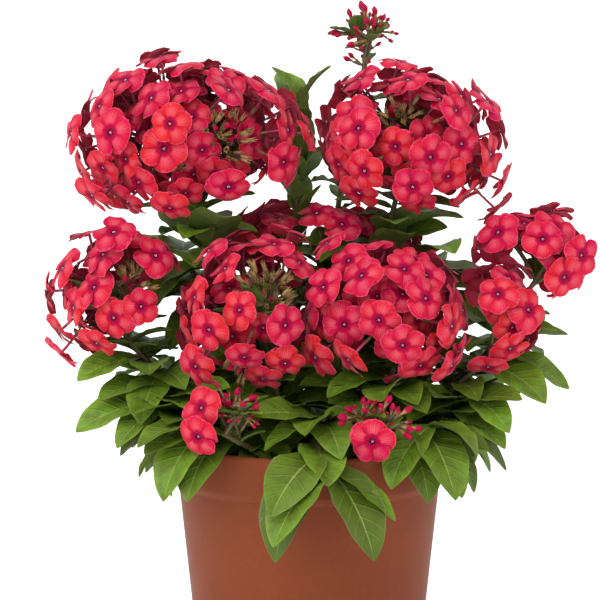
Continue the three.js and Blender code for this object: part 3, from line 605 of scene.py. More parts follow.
def lay_out_leaves(line, index, claims):
    """Opposite pairs of leaves, each a quarter turn on from the last and bent clear of other pieces."""
    stem = line["stem"]
    draw = random_stream(FIRST_STEM_SEED + index)
    leaves = LeafGrower(line, claims, LEAF_TRIES, LEAF_BALL_RADIUS, LEAF_DISTANCE)
    for i in range(2 * stem["pairs"]):
        pair = i // 2
        along = stem["from"] + ((stem["to"] - stem["from"]) * pair) / max(1, stem["pairs"] - 1)
        age = pair / stem["pairs"]
        bearing = math.radians(stem["turn"] + 90 * pair + 180 * (i % 2)) + centred(draw, BEARING_WANDER)
        length = stem["length"] * (1 - YOUNG_LEAF_SHARE * age ** 2) * varied(draw, LENGTH_SPREAD)
        bend = LOWEST_DROOP + (HIGHEST_DROOP - LOWEST_DROOP) * age
        droop = math.radians(stem["droop"]) * bend * varied(draw, DROOP_SPREAD)
        roll = TURN_TO_LIGHT * math.cos(bearing) + centred(draw, ROLL_WANDER)
        leaves.grow(along, bearing, stem["rise"], length=length, droop=droop, roll=roll, age=age)
    return leaves.finish()


def lay_out_inner_leaves(line, index, claims):
    """Smaller leaves that fill the stem between its pairs and below them, wherever there is room."""
    stem = line["stem"]
    draw = random_stream(FIRST_INNER_SEED + index)
    leaves = LeafGrower(line, claims, INNER_TRIES, INNER_BALL_RADIUS, INNER_DISTANCE)
    count = (INNER_LEAVES_PER_PAIR if stem["rise"] > LEVEL_RISE else RIM_LEAVES_PER_PAIR) * stem["pairs"]
    for i in range(count):
        along = INNER_FROM + (stem["to"] - INNER_FROM) * (i + 0.5) / count
        bearing = GOLDEN_ANGLE * i + INNER_TURN * draw()
        length = stem["length"] * drawn(draw, INNER_LENGTH)
        droop = math.radians(stem["droop"]) * drawn(draw, INNER_DROOP)
        roll = TURN_TO_LIGHT * math.cos(bearing) + centred(draw, ROLL_WANDER)
        leaves.grow(along, bearing, stem["rise"] + INNER_RISE, length=length, droop=droop, roll=roll,
                    age=along * INNER_AGE)
    return leaves.finish()


once = functools.lru_cache(maxsize=None)


@once
def plant_plan():
    """The whole plant's layout: its stem lines with their leaves, and its heads."""
    claims = Claims()
    lines = [stem_line(stem) for stem in STEMS]
    for line in lines:
        path = [point_on_stem(line, i / STEM_BALLS) for i in range(STEM_BALLS + 1)]
        claims.add([(place, STEM_RADIUS + STEM_MARGIN) for place in path], line["stem"]["name"])
    heads = [lay_out_head(head, lines, claims) for head in HEADS + BUD_HEADS]
    for index, line in enumerate(lines):
        line["leaves"] = lay_out_leaves(line, index, claims)
    for index, line in enumerate(lines):
        line["inner_leaves"] = lay_out_inner_leaves(line, index, claims)
    return {"lines": lines, "heads": heads, "claims": claims}


# ---------------------------------------------------------------- node trees

# The colour sockets of a Mix node, by number.
MIXED_COLOUR = 2
FIRST_COLOUR = 6
SECOND_COLOUR = 7


class Nodes:
    """The nodes of one tree. Values that it hands out can be added, multiplied and so on."""

    def __init__(self, tree):
        self.tree = tree

    def add(self, kind, inputs=None, **settings):
        node = self.tree.nodes.new(kind)
        for key, value in settings.items():
            setattr(node, key, value)
        for key, value in (inputs or {}).items():
            self.feed(node.inputs[key], value)
        return node

    def feed(self, socket, value):
        if isinstance(value, Value):
            value = value.socket
        if isinstance(value, bpy.types.NodeSocket):
            self.tree.links.new(value, socket)
        else:
            socket.default_value = value

    def value(self, kind, output=0, inputs=None, **settings):
        return Value(self, self.add(kind, inputs, **settings).outputs[output])

    def attribute(self, name, kind="FLOAT"):
        """A named attribute of the geometry, in a geometry tree."""
        return self.value("GeometryNodeInputNamedAttribute", inputs={"Name": name}, data_type=kind)

    def vector(self, x, y, z):
        return self.value("ShaderNodeCombineXYZ", inputs={0: x, 1: y, 2: z})

    def total(self, *vectors):
        whole = vectors[0]
        for other in vectors[1:]:
            whole = self.value("ShaderNodeVectorMath", inputs={0: whole, 1: other}, operation="ADD")
        return whole

    def scaled(self, vector, factor):
        return self.value("ShaderNodeVectorMath", inputs={0: vector, "Scale": factor}, operation="SCALE")

    def blend(self, factor, first, second):
        """A colour that turns from the first to the second as the factor goes from 0 to 1."""
        inputs = {0: factor, FIRST_COLOUR: first, SECOND_COLOUR: second}
        return self.value("ShaderNodeMix", MIXED_COLOUR, inputs, data_type="RGBA")

    def step(self, value, low, high):
        """0 below low, 1 above high, and smooth between; low may be the larger one."""
        inputs = {"Value": value, "From Min": low, "From Max": high}
        return self.value("ShaderNodeMapRange", inputs=inputs, interpolation_type="SMOOTHSTEP")


def operation(kind):
    """A method that adds a Math node of that kind."""

    def apply(self, *others):
        inputs = dict(enumerate((self, *others)))
        return self.nodes.value("ShaderNodeMath", inputs=inputs, operation=kind)

    return apply


class Value:
    """One output in a tree, on which arithmetic adds Math nodes."""

    def __init__(self, nodes, socket):
        self.nodes = nodes
        self.socket = socket

    __add__ = operation("ADD")
    __sub__ = operation("SUBTRACT")
    __mul__ = operation("MULTIPLY")
    __truediv__ = operation("DIVIDE")
    __abs__ = operation("ABSOLUTE")
    sin = operation("SINE")
    cos = operation("COSINE")
    power = operation("POWER")

    def __neg__(self):
        return self * -1.0


GEOMETRY_OUT = [("Geometry", "Geometry")]


def new_tree(name, kind, inputs, outputs):
    """A node group with named inputs, given as (name, socket, default), and outputs."""
    tree = bpy.data.node_groups.new(name, kind)
    for label, socket, default in inputs:
        made = tree.interface.new_socket(label, in_out="INPUT", socket_type="NodeSocket" + socket)
        if default is not None:
            made.default_value = default
    for label, socket in outputs:
        tree.interface.new_socket(label, in_out="OUTPUT", socket_type="NodeSocket" + socket)
    nodes = Nodes(tree)
    return nodes, nodes.add("NodeGroupInput").outputs, nodes.add("NodeGroupOutput").inputs


def finish_tree(nodes, geometry, material, output):
    """Ends a geometry tree: smooth faces, real meshes, one material."""
    smooth = nodes.add("GeometryNodeSetShadeSmooth", {"Geometry": geometry, "Shade Smooth": True})
    real = nodes.add("GeometryNodeRealizeInstances", {"Geometry": smooth.outputs[0]})
    dressed = nodes.add("GeometryNodeSetMaterial", {"Geometry": real.outputs[0], "Material": material})
    nodes.feed(output["Geometry"], dressed.outputs[0])
    return nodes.tree


@once
def rod_tree():
    """Round rods along the edges of a mesh, as thick as the attribute "thickness" says."""
    inputs = [("Geometry", "Geometry", None), ("Sides", "Int", 8), ("Material", "Material", None)]
    nodes, given, output = new_tree("rods", "GeometryNodeTree", inputs, GEOMETRY_OUT)
    line = nodes.add("GeometryNodeMeshToCurve", {"Mesh": given["Geometry"]}).outputs[0]
    circle = nodes.add("GeometryNodeCurvePrimitiveCircle", {"Resolution": given["Sides"], "Radius": 1.0})
    sweep = {"Curve": line, "Profile Curve": circle.outputs[0], "Fill Caps": True,
             "Scale": nodes.attribute("thickness")}
    swept = nodes.add("GeometryNodeCurveToMesh", sweep).outputs[0]
    return finish_tree(nodes, swept, given["Material"], output)


@once
def setting_tree():
    """Sets one of a collection's shapes on each point, turned and sized by the point's attributes."""
    inputs = [("Geometry", "Geometry", None), ("Shapes", "Collection", None), ("Size", "Float", 1.0),
              ("Material", "Material", None)]
    nodes, given, output = new_tree("set_on_points", "GeometryNodeTree", inputs, GEOMETRY_OUT)
    shapes = {"Collection": given["Shapes"], "Separate Children": True, "Reset Children": True}
    shapes = nodes.add("GeometryNodeCollectionInfo", shapes).outputs[0]
    turn = nodes.attribute("turn", "FLOAT_VECTOR")
    size = nodes.attribute("size") * Value(nodes, given["Size"])
    set_down = {"Points": given["Geometry"], "Instance": shapes, "Pick Instance": True,
                "Instance Index": nodes.attribute("shape", "INT"), "Scale": nodes.vector(size, size, size),
                "Rotation": nodes.value("FunctionNodeEulerToRotation", inputs={0: turn})}
    placed = nodes.add("GeometryNodeInstanceOnPoints", set_down).outputs[0]
    return finish_tree(nodes, placed, given["Material"], output)


@once
def leaf_tree():
    """Bends a flat blade, set on each point, along the leaf's arc: rise, droop, roll, fold and wavy edge."""
    inputs = [("Geometry", "Geometry", None), ("Blade", "Object", None), ("Fold", "Float", LEAF_FOLD),
              ("Wave Height", "Float", 0.0), ("Waves", "Float", 3.0), ("Material", "Material", None)]
    nodes, given, output = new_tree("leaf_blades", "GeometryNodeTree", inputs, GEOMETRY_OUT)
    blade = nodes.add("GeometryNodeObjectInfo", {"Object": given["Blade"], "As Instance": True})
    at_origin = nodes.add("GeometryNodeSetPosition",
                          {"Geometry": given["Geometry"], "Position": (0.0, 0.0, 0.0)}).outputs[0]
    flat = nodes.add("GeometryNodeInstanceOnPoints",
                     {"Points": at_origin, "Instance": blade.outputs["Geometry"]}).outputs[0]
    real = nodes.add("GeometryNodeRealizeInstances", {"Geometry": flat}).outputs[0]
    parts = nodes.add("ShaderNodeSeparateXYZ", {0: nodes.value("GeometryNodeInputPosition")}).outputs
    share, across_share, height = (Value(nodes, part) for part in parts)
    rise, droop, roll = (nodes.attribute(name) for name in ("rise", "droop", "roll"))
    length, width, phase = (nodes.attribute(name) for name in ("length", "width", "phase"))
    fold, wave_height, waves = (Value(nodes, given[label]) for label in ("Fold", "Wave Height", "Waves"))
    side = across_share * width
    wave = (share * waves * (2 * math.pi) + phase).sin() * wave_height
    lift = abs(side) * fold.sin() + height + wave * across_share * across_share * 4
    reach = side * fold.cos()
    pitch = rise - droop * share
    out = (rise.sin() - pitch.sin()) / droop * length
    climb = (pitch.cos() - rise.cos()) / droop * length
    turn = roll * share
    wide = nodes.vector(-(pitch.sin() * turn.sin()), turn.cos(), pitch.cos() * turn.sin())
    high = nodes.vector(-(pitch.sin() * turn.cos()), -turn.sin(), pitch.cos() * turn.cos())
    bent = nodes.total(nodes.vector(out, 0.0, climb), nodes.scaled(wide, reach), nodes.scaled(high, lift))
    bearing = {"Vector": bent, "Angle": nodes.attribute("bearing")}
    faced = nodes.value("ShaderNodeVectorRotate", inputs=bearing, rotation_type="Z_AXIS")
    place = nodes.total(faced, nodes.attribute("root", "FLOAT_VECTOR"))
    blades = nodes.add("GeometryNodeSetPosition", {"Geometry": real, "Position": place}).outputs[0]
    return finish_tree(nodes, blades, given["Material"], output)


# ---------------------------------------------------------------- meshes


def new_mesh(name, points, edges=(), faces=(), **attributes):
    """A mesh in metres from points in millimetres; attributes are (type, domain, values)."""
    mesh = bpy.data.meshes.new(name)
    mesh.from_pydata((np.asarray(points, float) * MM).tolist(), list(edges), list(faces))
    for label, (kind, domain, values) in attributes.items():
        layer = mesh.attributes.new(label, kind, domain)
        key = "vector" if kind in ("FLOAT_VECTOR", "FLOAT2") else "value"
        layer.data.foreach_set(key, np.ravel(values))
    return mesh


def new_object(name, mesh):
    made = bpy.data.objects.new(name, mesh)
    bpy.context.scene.collection.objects.link(made)
    return made


def grown(name, mesh, tree, **inputs):
    """The plain mesh that a geometry tree makes from a mesh, with its inputs set by their names."""
    seed = new_object(name + "_seed", mesh)
    modifier = seed.modifiers.new("grow", "NODES")
    modifier.node_group = tree
    for item in tree.interface.items_tree:
        label = item.name.lower().replace(" ", "_")
        if item.in_out == "INPUT" and label in inputs:
            modifier[item.identifier] = inputs[label]
    bpy.context.view_layer.update()
    evaluated = seed.evaluated_get(bpy.context.evaluated_depsgraph_get())
    made = bpy.data.meshes.new_from_object(evaluated)
    made.name = name
    bpy.data.objects.remove(seed)
    return made


def joined_object(name, meshes):
    """One object from several meshes, each with its own material."""
    parts = [new_object(name, mesh) for mesh in meshes if len(mesh.vertices)]
    if not parts:
        raise RuntimeError(f"{name} has nothing to show")
    if len(parts) > 1:
        with bpy.context.temp_override(active_object=parts[0], selected_editable_objects=parts):
            bpy.ops.object.join()
    parts[0].name = name
    return parts[0]


def hand_over(piece, slot, *nodes):
    """Ties a finished piece to the plant's body and hides the nodes that it stands for; the slot is not
    used.
    """
    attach(piece, "root")
    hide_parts(*nodes)


def shapes_collection(name, meshes):
    """The shapes that are set on points, in a collection of their own, picked by number."""
    collection = bpy.data.collections.new(name)
    for i, mesh in enumerate(meshes):
        collection.objects.link(bpy.data.objects.new(f"{name}_{i}", mesh))
    return collection


def drop_collection(collection):
    for shape in list(collection.objects):
        bpy.data.objects.remove(shape)
    bpy.data.collections.remove(collection)


def grid_shell(name, grids, uv):
    """A closed thin shell from sheets of points, each an upper and a lower grid that share their rim."""
    points, faces, corners, under, rims = [], [], [], [], set()
    for upper, lower in grids:
        rows, columns = upper.shape[:2]
        first = len(points)
        points.extend(upper.reshape(-1, 3))
        above = first + np.arange(rows * columns).reshape(rows, columns)
        inner = np.arange((rows - 2) * (columns - 2)).reshape(rows - 2, columns - 2)
        below = above.copy()
        below[1:-1, 1:-1] = len(points) + inner
        points.extend(lower[1:-1, 1:-1].reshape(-1, 3))
        for sheet, beneath in ((above, 0.0), (below, 1.0)):
            for i in range(rows - 1):
                for j in range(columns - 1):
                    loop = [(i, j), (i + 1, j), (i + 1, j + 1), (i, j + 1)]
                    loop = loop if beneath else loop[::-1]
                    faces.append([int(sheet[corner]) for corner in loop])
                    corners.extend(uv[corner] for corner in loop)
                    under.append(beneath)
        edge = [*above[0], *above[1:, -1], *above[-1, -2::-1], *above[-2:0:-1, 0]]
        rims.update(frozenset((int(a), int(b))) for a, b in zip(edge, edge[1:] + edge[:1]))
    mesh = new_mesh(name, points, (), faces, UVMap=("FLOAT2", "CORNER", corners),
                    under=("FLOAT", "FACE", under))
    sharp = [frozenset(edge.vertices) in rims for edge in mesh.edges]
    mesh.attributes.new("sharp_edge", "BOOLEAN", "EDGE").data.foreach_set("value", sharp)
    return mesh


def ring_shell(name, rings):
    """A closed body through rings of points, with a flat cap on the first and the last one."""
    count = len(rings[0])
    last = len(rings) - 1
    faces, corners = [], []
    for i in range(last):
        for k in range(count):
            loop = [(i, k), (i, k + 1), (i + 1, k + 1), (i + 1, k)]
            faces.append([row * count + column % count for row, column in loop])
            corners.extend((column / count, row / last) for row, column in loop)
    faces.append(list(range(count))[::-1])
    faces.append([last * count + k for k in range(count)])
    corners.extend([(0.5, 0.0)] * count + [(0.5, 1.0)] * count)
    return new_mesh(name, np.vstack(rings), (), faces, UVMap=("FLOAT2", "CORNER", corners))


def ring(radius, height, sides, turn=0.0):
    angles = 2 * np.pi * np.arange(sides) / sides + turn
    radius = np.broadcast_to(radius, sides)
    height = np.broadcast_to(height, sides)
    return np.stack([radius * np.cos(angles), radius * np.sin(angles), height], 1)


def lines_mesh(name, lines):
    """The middle lines of rods, each given as its points, its radii and its tint."""
    points, edges, thickness, tints = [], [], [], []
    for path, radii, tint in lines:
        first = len(points)
        points.extend(path)
        edges.extend((first + i, first + i + 1) for i in range(len(path) - 1))
        thickness.extend(np.broadcast_to(radii, len(path)) * MM)
        tints.extend([tint] * len(path))
    return new_mesh(name, points, edges, (), thickness=("FLOAT", "POINT", thickness),
                    tint=("FLOAT", "POINT", tints))


def spots_mesh(name, spots):
    """Points to set shapes on; each spot has its place, its two axes, its size, shape and tint."""
    turns = []
    for one in spots:
        axes = (one["u"], np.cross(one["facing"], one["u"]), one["facing"])
        turns.append(tuple(Matrix(np.column_stack(axes)).to_euler()))
    return new_mesh(name, [one["at"] for one in spots],
                    turn=("FLOAT_VECTOR", "POINT", turns),
                    size=("FLOAT", "POINT", [one["size"] for one in spots]),
                    shape=("INT", "POINT", [one["shape"] for one in spots]),
                    tint=("FLOAT", "POINT", [one["tint"] for one in spots]))


def curve_between(start, pull, end, count):
    """Points of a curve that leaves the start towards the pull and ends at the end."""
    shares = np.linspace(0, 1, count)[:, None]
    return (1 - shares) ** 2 * start + 2 * shares * (1 - shares) * pull + shares ** 2 * end


# ---------------------------------------------------------------- shapes that repeat

# Petals of a floret of radius 1. Pairs of numbers are the least and the most that a draw adds.
PETAL_COLUMNS = 7
PETAL_ROWS = 7
PETAL_SHAPES = 9
PETAL_THROAT = 0.06
PETAL_CLAW = 0.06
PETAL_BREADTH = 0.52
PETAL_NOTCH = 0.52
PETAL_THICKNESS = 0.011
PETAL_THINNING = 0.4
BREADTH_SPREAD = 0.14
REACH_WANDER = 0.12
TURN_WANDER = 0.08
END_ROUNDNESS = 0.97
SHOULDER_AT = 1.1
SHOULDER_POWER = 1.15
FALL = (0.02, 0.26)
TILT = (0.06, 0.06)
CUP = (0.02, 0.16)
CRIMP = (0.03, 0.05)
BROAD_WAVE = 3.1
FINE_WAVE = 7
FINE_WAVE_SHARE = 0.35
CREASE_DEPTH = 0.03
CREASE_WIDTH = 0.2
CREASE_GROWTH = 0.7
DISH_RADIUS = 0.42
DISH_DEPTH = 0.1
DISH_POWER = 1.6
THROAT_DIP = 0.07


def petal(draw):
    """One broad petal of a floret of radius 1, laid along X: narrow at the throat, rounded at its end."""
    columns = np.sin(np.linspace(-1, 1, PETAL_COLUMNS) * np.pi / 2)
    side, along = np.meshgrid(columns, np.linspace(0, 1, PETAL_ROWS))
    breadth = PETAL_BREADTH * (1 + centred(draw, BREADTH_SPREAD))
    length = 1 + centred(draw, REACH_WANDER)
    fall = drawn(draw, FALL)
    tilt = drawn(draw, TILT)
    cup = -drawn(draw, CUP)
    phase = 2 * math.pi * draw()
    crimp = drawn(draw, CRIMP)
    end = length * (PETAL_NOTCH + (1 - PETAL_NOTCH) * np.sqrt(1 - (END_ROUNDNESS * side) ** 2))
    out = PETAL_THROAT + (end - PETAL_THROAT) * along
    shoulder = np.sin(np.minimum(along * SHOULDER_AT, 1) * np.pi / 2) ** SHOULDER_POWER
    aside = side * (PETAL_CLAW + (breadth - PETAL_CLAW) * shoulder)
    radius = np.hypot(out, aside)
    dish = -DISH_DEPTH * np.maximum(1 - radius / DISH_RADIUS, 0) ** DISH_POWER
    rim = -fall * np.maximum((radius - DISH_RADIUS) / (1 - DISH_RADIUS), 0) ** 2
    wave = crimp * np.sin(BROAD_WAVE * side + phase) * along ** 2
    wave = wave + FINE_WAVE_SHARE * crimp * np.sin(FINE_WAVE * side + 2 * phase) * along ** 3
    crease = -CREASE_DEPTH * np.exp(-(side / CREASE_WIDTH) ** 2) * along ** CREASE_GROWTH
    height = dish + rim + wave + crease + tilt * side * along + cup * side ** 2 * along ** 0.5
    half_thick = PETAL_THICKNESS / 2 * (1 - PETAL_THINNING * along)
    upper = np.stack([out, aside, height + half_thick], 2)
    lower = np.stack([out, aside, height - half_thick], 2)
    return upper, lower, np.stack([side / 2 + 0.5, along], 2)


def floret_shape(seed):
    """Five petals round the throat, each with one edge over its neighbour."""
    draw = random_stream(seed)
    grids = []
    for k in range(PETALS):
        upper, lower, uv = petal(draw)
        angle = 2 * math.pi * k / PETALS + centred(draw, TURN_WANDER)
        cos, sin = math.cos(angle), math.sin(angle)
        turn = np.array([[cos, sin, 0], [-sin, cos, 0], [0, 0, 1]])
        grids.append((upper @ turn / MM, lower @ turn / MM))
    return grid_shell(f"floret_{seed}", grids, uv)


CALYX_LENGTH = 8.0
CALYX_SIDES = 10
CALYX_RIB = 1.12
CALYX_GROOVE = 0.92
# The calyx's rings, up its outside and down its inside: the radius at the teeth and between them, then the
# height at the teeth and between them.
CALYX_PROFILE = [
    (0.45, 0.45, -0.6, -0.6), (0.95 * CALYX_RIB, 0.95 * CALYX_GROOVE, 0.7, 0.7),
    (1.1 * CALYX_RIB, 1.1 * CALYX_GROOVE, 2.6, 2.6), (1.2, 1.0, 5.2, 4.6), (1.5, 1.05, CALYX_LENGTH, 4.9),
    (1.35, 0.95, CALYX_LENGTH - 0.3, 4.8), (0.85, 0.85, 4.0, 4.0), (0.6, 0.6, 1.6, 1.6),
]


def calyx_shape():
    """A narrow ribbed cup with five awl teeth, 8 mm tall, standing on the origin."""
    tooth = np.arange(CALYX_SIDES) % 2 == 0
    rings = []
    for rib, groove, tip, notch in CALYX_PROFILE:
        rings.append(ring(np.where(tooth, rib, groove), np.where(tooth, tip, notch), CALYX_SIDES))
    return ring_shell("calyx", rings)


BUD_SHAPE_LENGTH = 12.0
BUD_SIDES = 10
BUD_FOLD = 0.09
BUD_TWIST = 0.16
BUD_PROFILE = [(0.55, 0), (0.7, 2.5), (0.95, 4.5), (1.6, 6.2), (2.05, 7.8), (1.9, 9.2), (1.2, 10.6),
               (0.6, 11.5), (0.12, BUD_SHAPE_LENGTH)]


def bud_shape():
    """A rolled bud, 12 mm long: a slim tube that swells and twists to a point, standing on the origin."""
    folded = 1 + BUD_FOLD * np.where(np.arange(BUD_SIDES) % 2 == 0, 1, -1)
    rings = [ring(radius * folded, height, BUD_SIDES, BUD_TWIST * height) for radius, height in BUD_PROFILE]
    return ring_shell("bud", rings)


ANTHERS = 3
ANTHER_RING = 0.032
ANTHER_DEPTH = 0.064
ANTHER_STEP = 0.008
ANTHER_SIZE = (0.015, 0.015, 0.022)


def stamen_shape():
    """Three tiny cream anthers in the mouth of the tube of a floret of radius 1."""
    points, faces = [], []
    for k in range(ANTHERS):
        angle = 2 * math.pi * k / ANTHERS
        centre = np.array([ANTHER_RING * math.cos(angle), ANTHER_RING * math.sin(angle),
                           -ANTHER_DEPTH + ANTHER_STEP * k])
        first = len(points)
        for axis, reach in enumerate(ANTHER_SIZE):
            for sign in (1, -1):
                offset = np.zeros(3)
                offset[axis] = sign * reach
                points.append((centre + offset) / MM)
        for corners in itertools.product((0, 1), (2, 3), (4, 5)):
            face = [first + corner for corner in corners]
            faces.append(face if sum(corners) % 2 == 0 else face[::-1])
    return new_mesh("stamens", points, (), faces)


LEAF_ROWS = 15
LEAF_COLUMNS = (-1, -0.74, -0.42, -0.13, 0, 0.13, 0.42, 0.74, 1)
LEAF_THICKNESS = 0.5
VEIN_SWEEP = 0.2
VEIN_RELIEF = 0.16
MIDRIB_RELIEF = 0.4
MIDRIB_FADE = 0.6
MIDRIB_SWELLING = 0.8
MIDRIB_WIDTH = 0.1
LEAF_STALK = 0.03
LEAF_END = 0.004
LEAF_HALF_WIDTH = 0.48
LEAF_WIDEST_AT = 0.45
LEAF_BASE_POWER = 0.72
LEAF_TIP_POWER = 0.88
RELIEF_TAPER = 0.6


def leaf_breadth(share):
    """Half the leaf's width, as a share of its full width: widest below the middle, drawn out to the tip."""
    widest = LEAF_WIDEST_AT ** LEAF_BASE_POWER * (1 - LEAF_WIDEST_AT) ** LEAF_TIP_POWER
    swell = LEAF_HALF_WIDTH * share ** LEAF_BASE_POWER * (1 - share) ** LEAF_TIP_POWER / widest
    return LEAF_STALK * (1 - share) + LEAF_END + swell


def leaf_shape():
    """A flat blade: X is the share along it, Y the share of its width, Z its relief in millimetres."""
    row, side = np.meshgrid(np.arange(LEAF_ROWS + 1), LEAF_COLUMNS, indexing="ij")
    straight = row / LEAF_ROWS
    share = straight + VEIN_SWEEP * 4 * straight * (1 - straight) * np.abs(side)
    taper = np.sin(np.pi * straight) ** RELIEF_TAPER
    ribbed = np.where(row % 2 == 0, 1.0, -1.0) * VEIN_RELIEF * taper * (1 - np.abs(side) ** 3)
    height = np.where(side == 0, -MIDRIB_RELIEF * (1 - MIDRIB_FADE * straight), ribbed)
    thick = LEAF_THICKNESS / 2 * (1 + MIDRIB_SWELLING * np.exp(-(side / MIDRIB_WIDTH) ** 2))
    aside = side * leaf_breadth(share)
    upper = np.stack([share / MM, aside / MM, height + thick], 2)
    lower = np.stack([share / MM, aside / MM, height - thick], 2)
    return grid_shell("leaf_blade", [(upper, lower)], np.stack([side / 2 + 0.5, straight], 2))


# ---------------------------------------------------------------- finishes


def tone(*display):
    """A colour as scene values, from its 8-bit display values."""
    colour = []
    for value in display:
        share = value / 255
        colour.append(share / 12.92 if value <= 10 else ((share + 0.055) / 1.055) ** 2.4)
    return tuple(colour)


def solid(colour):
    return (*colour, 1.0)


@once
def mottling_group():
    """Soft patches of a second colour, and the height of the same patches."""
    inputs = [("Color", "Color", None), ("Patches", "Color", None), ("Scale", "Float", 60.0),
              ("Amount", "Float", 0.5)]
    outputs = [("Color", "Color"), ("Height", "Float")]
    nodes, given, output = new_tree("mottling", "ShaderNodeTree", inputs, outputs)
    place = nodes.value("ShaderNodeTexCoord", "Object")
    texture = {"Vector": place, "Scale": given["Scale"], "Detail": 4.0, "Roughness": 0.6}
    noise = nodes.value("ShaderNodeTexNoise", inputs=texture)
    share = nodes.step(noise, 0.35, 0.68) * Value(nodes, given["Amount"])
    nodes.feed(output["Color"], nodes.blend(share, given["Color"], given["Patches"]))
    nodes.feed(output["Height"], noise)
    return nodes.tree


@once
def lines_group():
    """Evenly spaced fine lines across a place that runs from 0 to 1: 1 on a line, 0 between."""
    inputs = [("Place", "Float", 0.0), ("Count", "Float", 10.0), ("Width", "Float", 0.1)]
    nodes, given, output = new_tree("fine_lines", "ShaderNodeTree", inputs, [("Mask", "Float")])
    place, count, width = (Value(nodes, given[label]) for label in ("Place", "Count", "Width"))
    swing = (place * count * math.pi).cos()
    nodes.feed(output["Mask"], nodes.step(swing, width - 1.0, -1.0))
    return nodes.tree


class Finish(Nodes):
    """A material in the making: `body` is its colour so far, which each further coat changes."""

    def __init__(self, name, body=None, **constants):
        self.material = bpy.data.materials.new(name)
        self.material.use_nodes = True
        super().__init__(self.material.node_tree)
        self.shader = self.tree.nodes["Principled BSDF"]
        self.body = solid(body) if body else None
        for label, value in constants.items():
            self.shader.inputs[label.replace("_", " ")].default_value = value

    def group(self, tree, inputs):
        made = self.add("ShaderNodeGroup", node_tree=tree)
        for label, value in inputs.items():
            self.feed(made.inputs[label], value)
        return made.outputs

    def fine_lines(self, place, count, width):
        inputs = {"Place": place, "Count": count, "Width": width}
        return Value(self, self.group(lines_group(), inputs)["Mask"])

    def coat(self, share, colour):
        """Turns the body to another colour by a share from 0 to 1."""
        self.body = self.blend(share, self.body, solid(colour))

    def mottle(self, patches, scale, amount):
        """Adds soft patches to the body, and returns their height."""
        inputs = {"Color": self.body, "Patches": solid(patches), "Scale": scale, "Amount": amount}
        made = self.group(mottling_group(), inputs)
        self.body = Value(self, made["Color"])
        return Value(self, made["Height"])

    def own(self, name):
        """A named attribute of the surface."""
        return self.value("ShaderNodeAttribute", "Fac", attribute_name=name)

    def places(self):
        """How far a point lies from the middle line, 0 to 1, where across it lies, and how far along."""
        parts = self.add("ShaderNodeSeparateXYZ", {0: self.value("ShaderNodeUVMap", uv_map="UVMap")}).outputs
        place, along = Value(self, parts[0]), Value(self, parts[1])
        return abs(place * 2 - 1), place, along

    def done(self, height=None, depth=0.0, roughness=None):
        """Feeds the shader its colour, its bumps (the depth in millimetres) and a roughness that varies."""
        self.feed(self.shader.inputs["Base Color"], self.body)
        if roughness:
            self.feed(self.shader.inputs["Roughness"], roughness)
        if height:
            bumps = {"Height": height, "Distance": depth * MM, "Strength": 1.0}
            self.feed(self.shader.inputs["Normal"], self.value("ShaderNodeBump", inputs=bumps))
        return self.material


@once
def petal_finish():
    colours = bpy.context.scene.phlox_florets
    finish = Finish("phlox_petal", Roughness=0.6, Specular_IOR_Level=0.05, Sheen_Weight=0.12,
                    Sheen_Roughness=0.35)
    step = finish.step
    across_share, place, along = finish.places()
    tint = finish.own("tint")
    finish.body = finish.blend(step(tint, 0.15, 0.45), solid(colours.scarlet), solid(colours.coral))
    # A high tint, and so crimson, comes partly from a painted light colour on florets that face up.
    finish.coat(step(tint, 0.6, 0.95), colours.crimson)
    height = finish.mottle(colours.scarlet, 85.0, 0.5)
    finish.mottle(colours.blush, 55.0, 0.5)
    veins = finish.fine_lines(place, 13.0, 0.9) * step(along, 0.12, 0.35)
    streaks = finish.fine_lines(place + height * 0.12, 21.0, 1.2) * step(along, 0.2, 0.4)
    finish.coat(veins * 0.3, colours.vein_and_seam_shade)
    # Pale streaks, together with a painted highlight on the middle of each petal.
    pale = step(across_share, 0.9, 0.0) * step(along, 0.22, 0.4) * step(along, 1.0, 0.5)
    finish.coat(pale * (height * 0.5 + streaks * 0.3), colours.edge)
    # Painted highlight: a light line along the end of each petal.
    finish.coat(step(along, 0.95, 1.0) * 0.45, colours.edge)
    # Painted shade: the petals darken along their side edges, most towards the base, where they meet.
    seam_shade = step(across_share, 0.55, 1.0) * step(along, 0.95, 0.2)
    finish.coat(seam_shade * 0.75, colours.vein_and_seam_shade)
    star = (across_share * -1 + 1).power(2.0) * 0.09 + veins * 0.07 + 0.19
    eye = step(along - star, 0.12, -0.05)
    finish.coat(eye * 0.95, colours.eye)
    # Painted shade: the petals darken almost to black round the mouth of the tube.
    throat = step(along, 0.14, 0.03)
    finish.coat(throat, colours.throat)
    finish.coat(finish.own("under") * 0.5, colours.halo)
    return finish.done(height * 0.5 - veins * 0.3 - seam_shade * 0.6, 0.2)


@once
def tube_finish():
    colours = bpy.context.scene.phlox_florets
    finish = Finish("phlox_tube", colours.tube, Roughness=0.55)
    finish.coat(finish.own("tint"), colours.eye)
    height = finish.mottle(colours.halo, 220.0, 0.5)
    return finish.done(height, 0.1)


@once
def stamen_finish():
    colours = bpy.context.scene.phlox_florets
    finish = Finish("phlox_anther", colours.anther, Roughness=0.8)
    finish.mottle(colours.pollen, 900.0, 0.6)
    return finish.done()


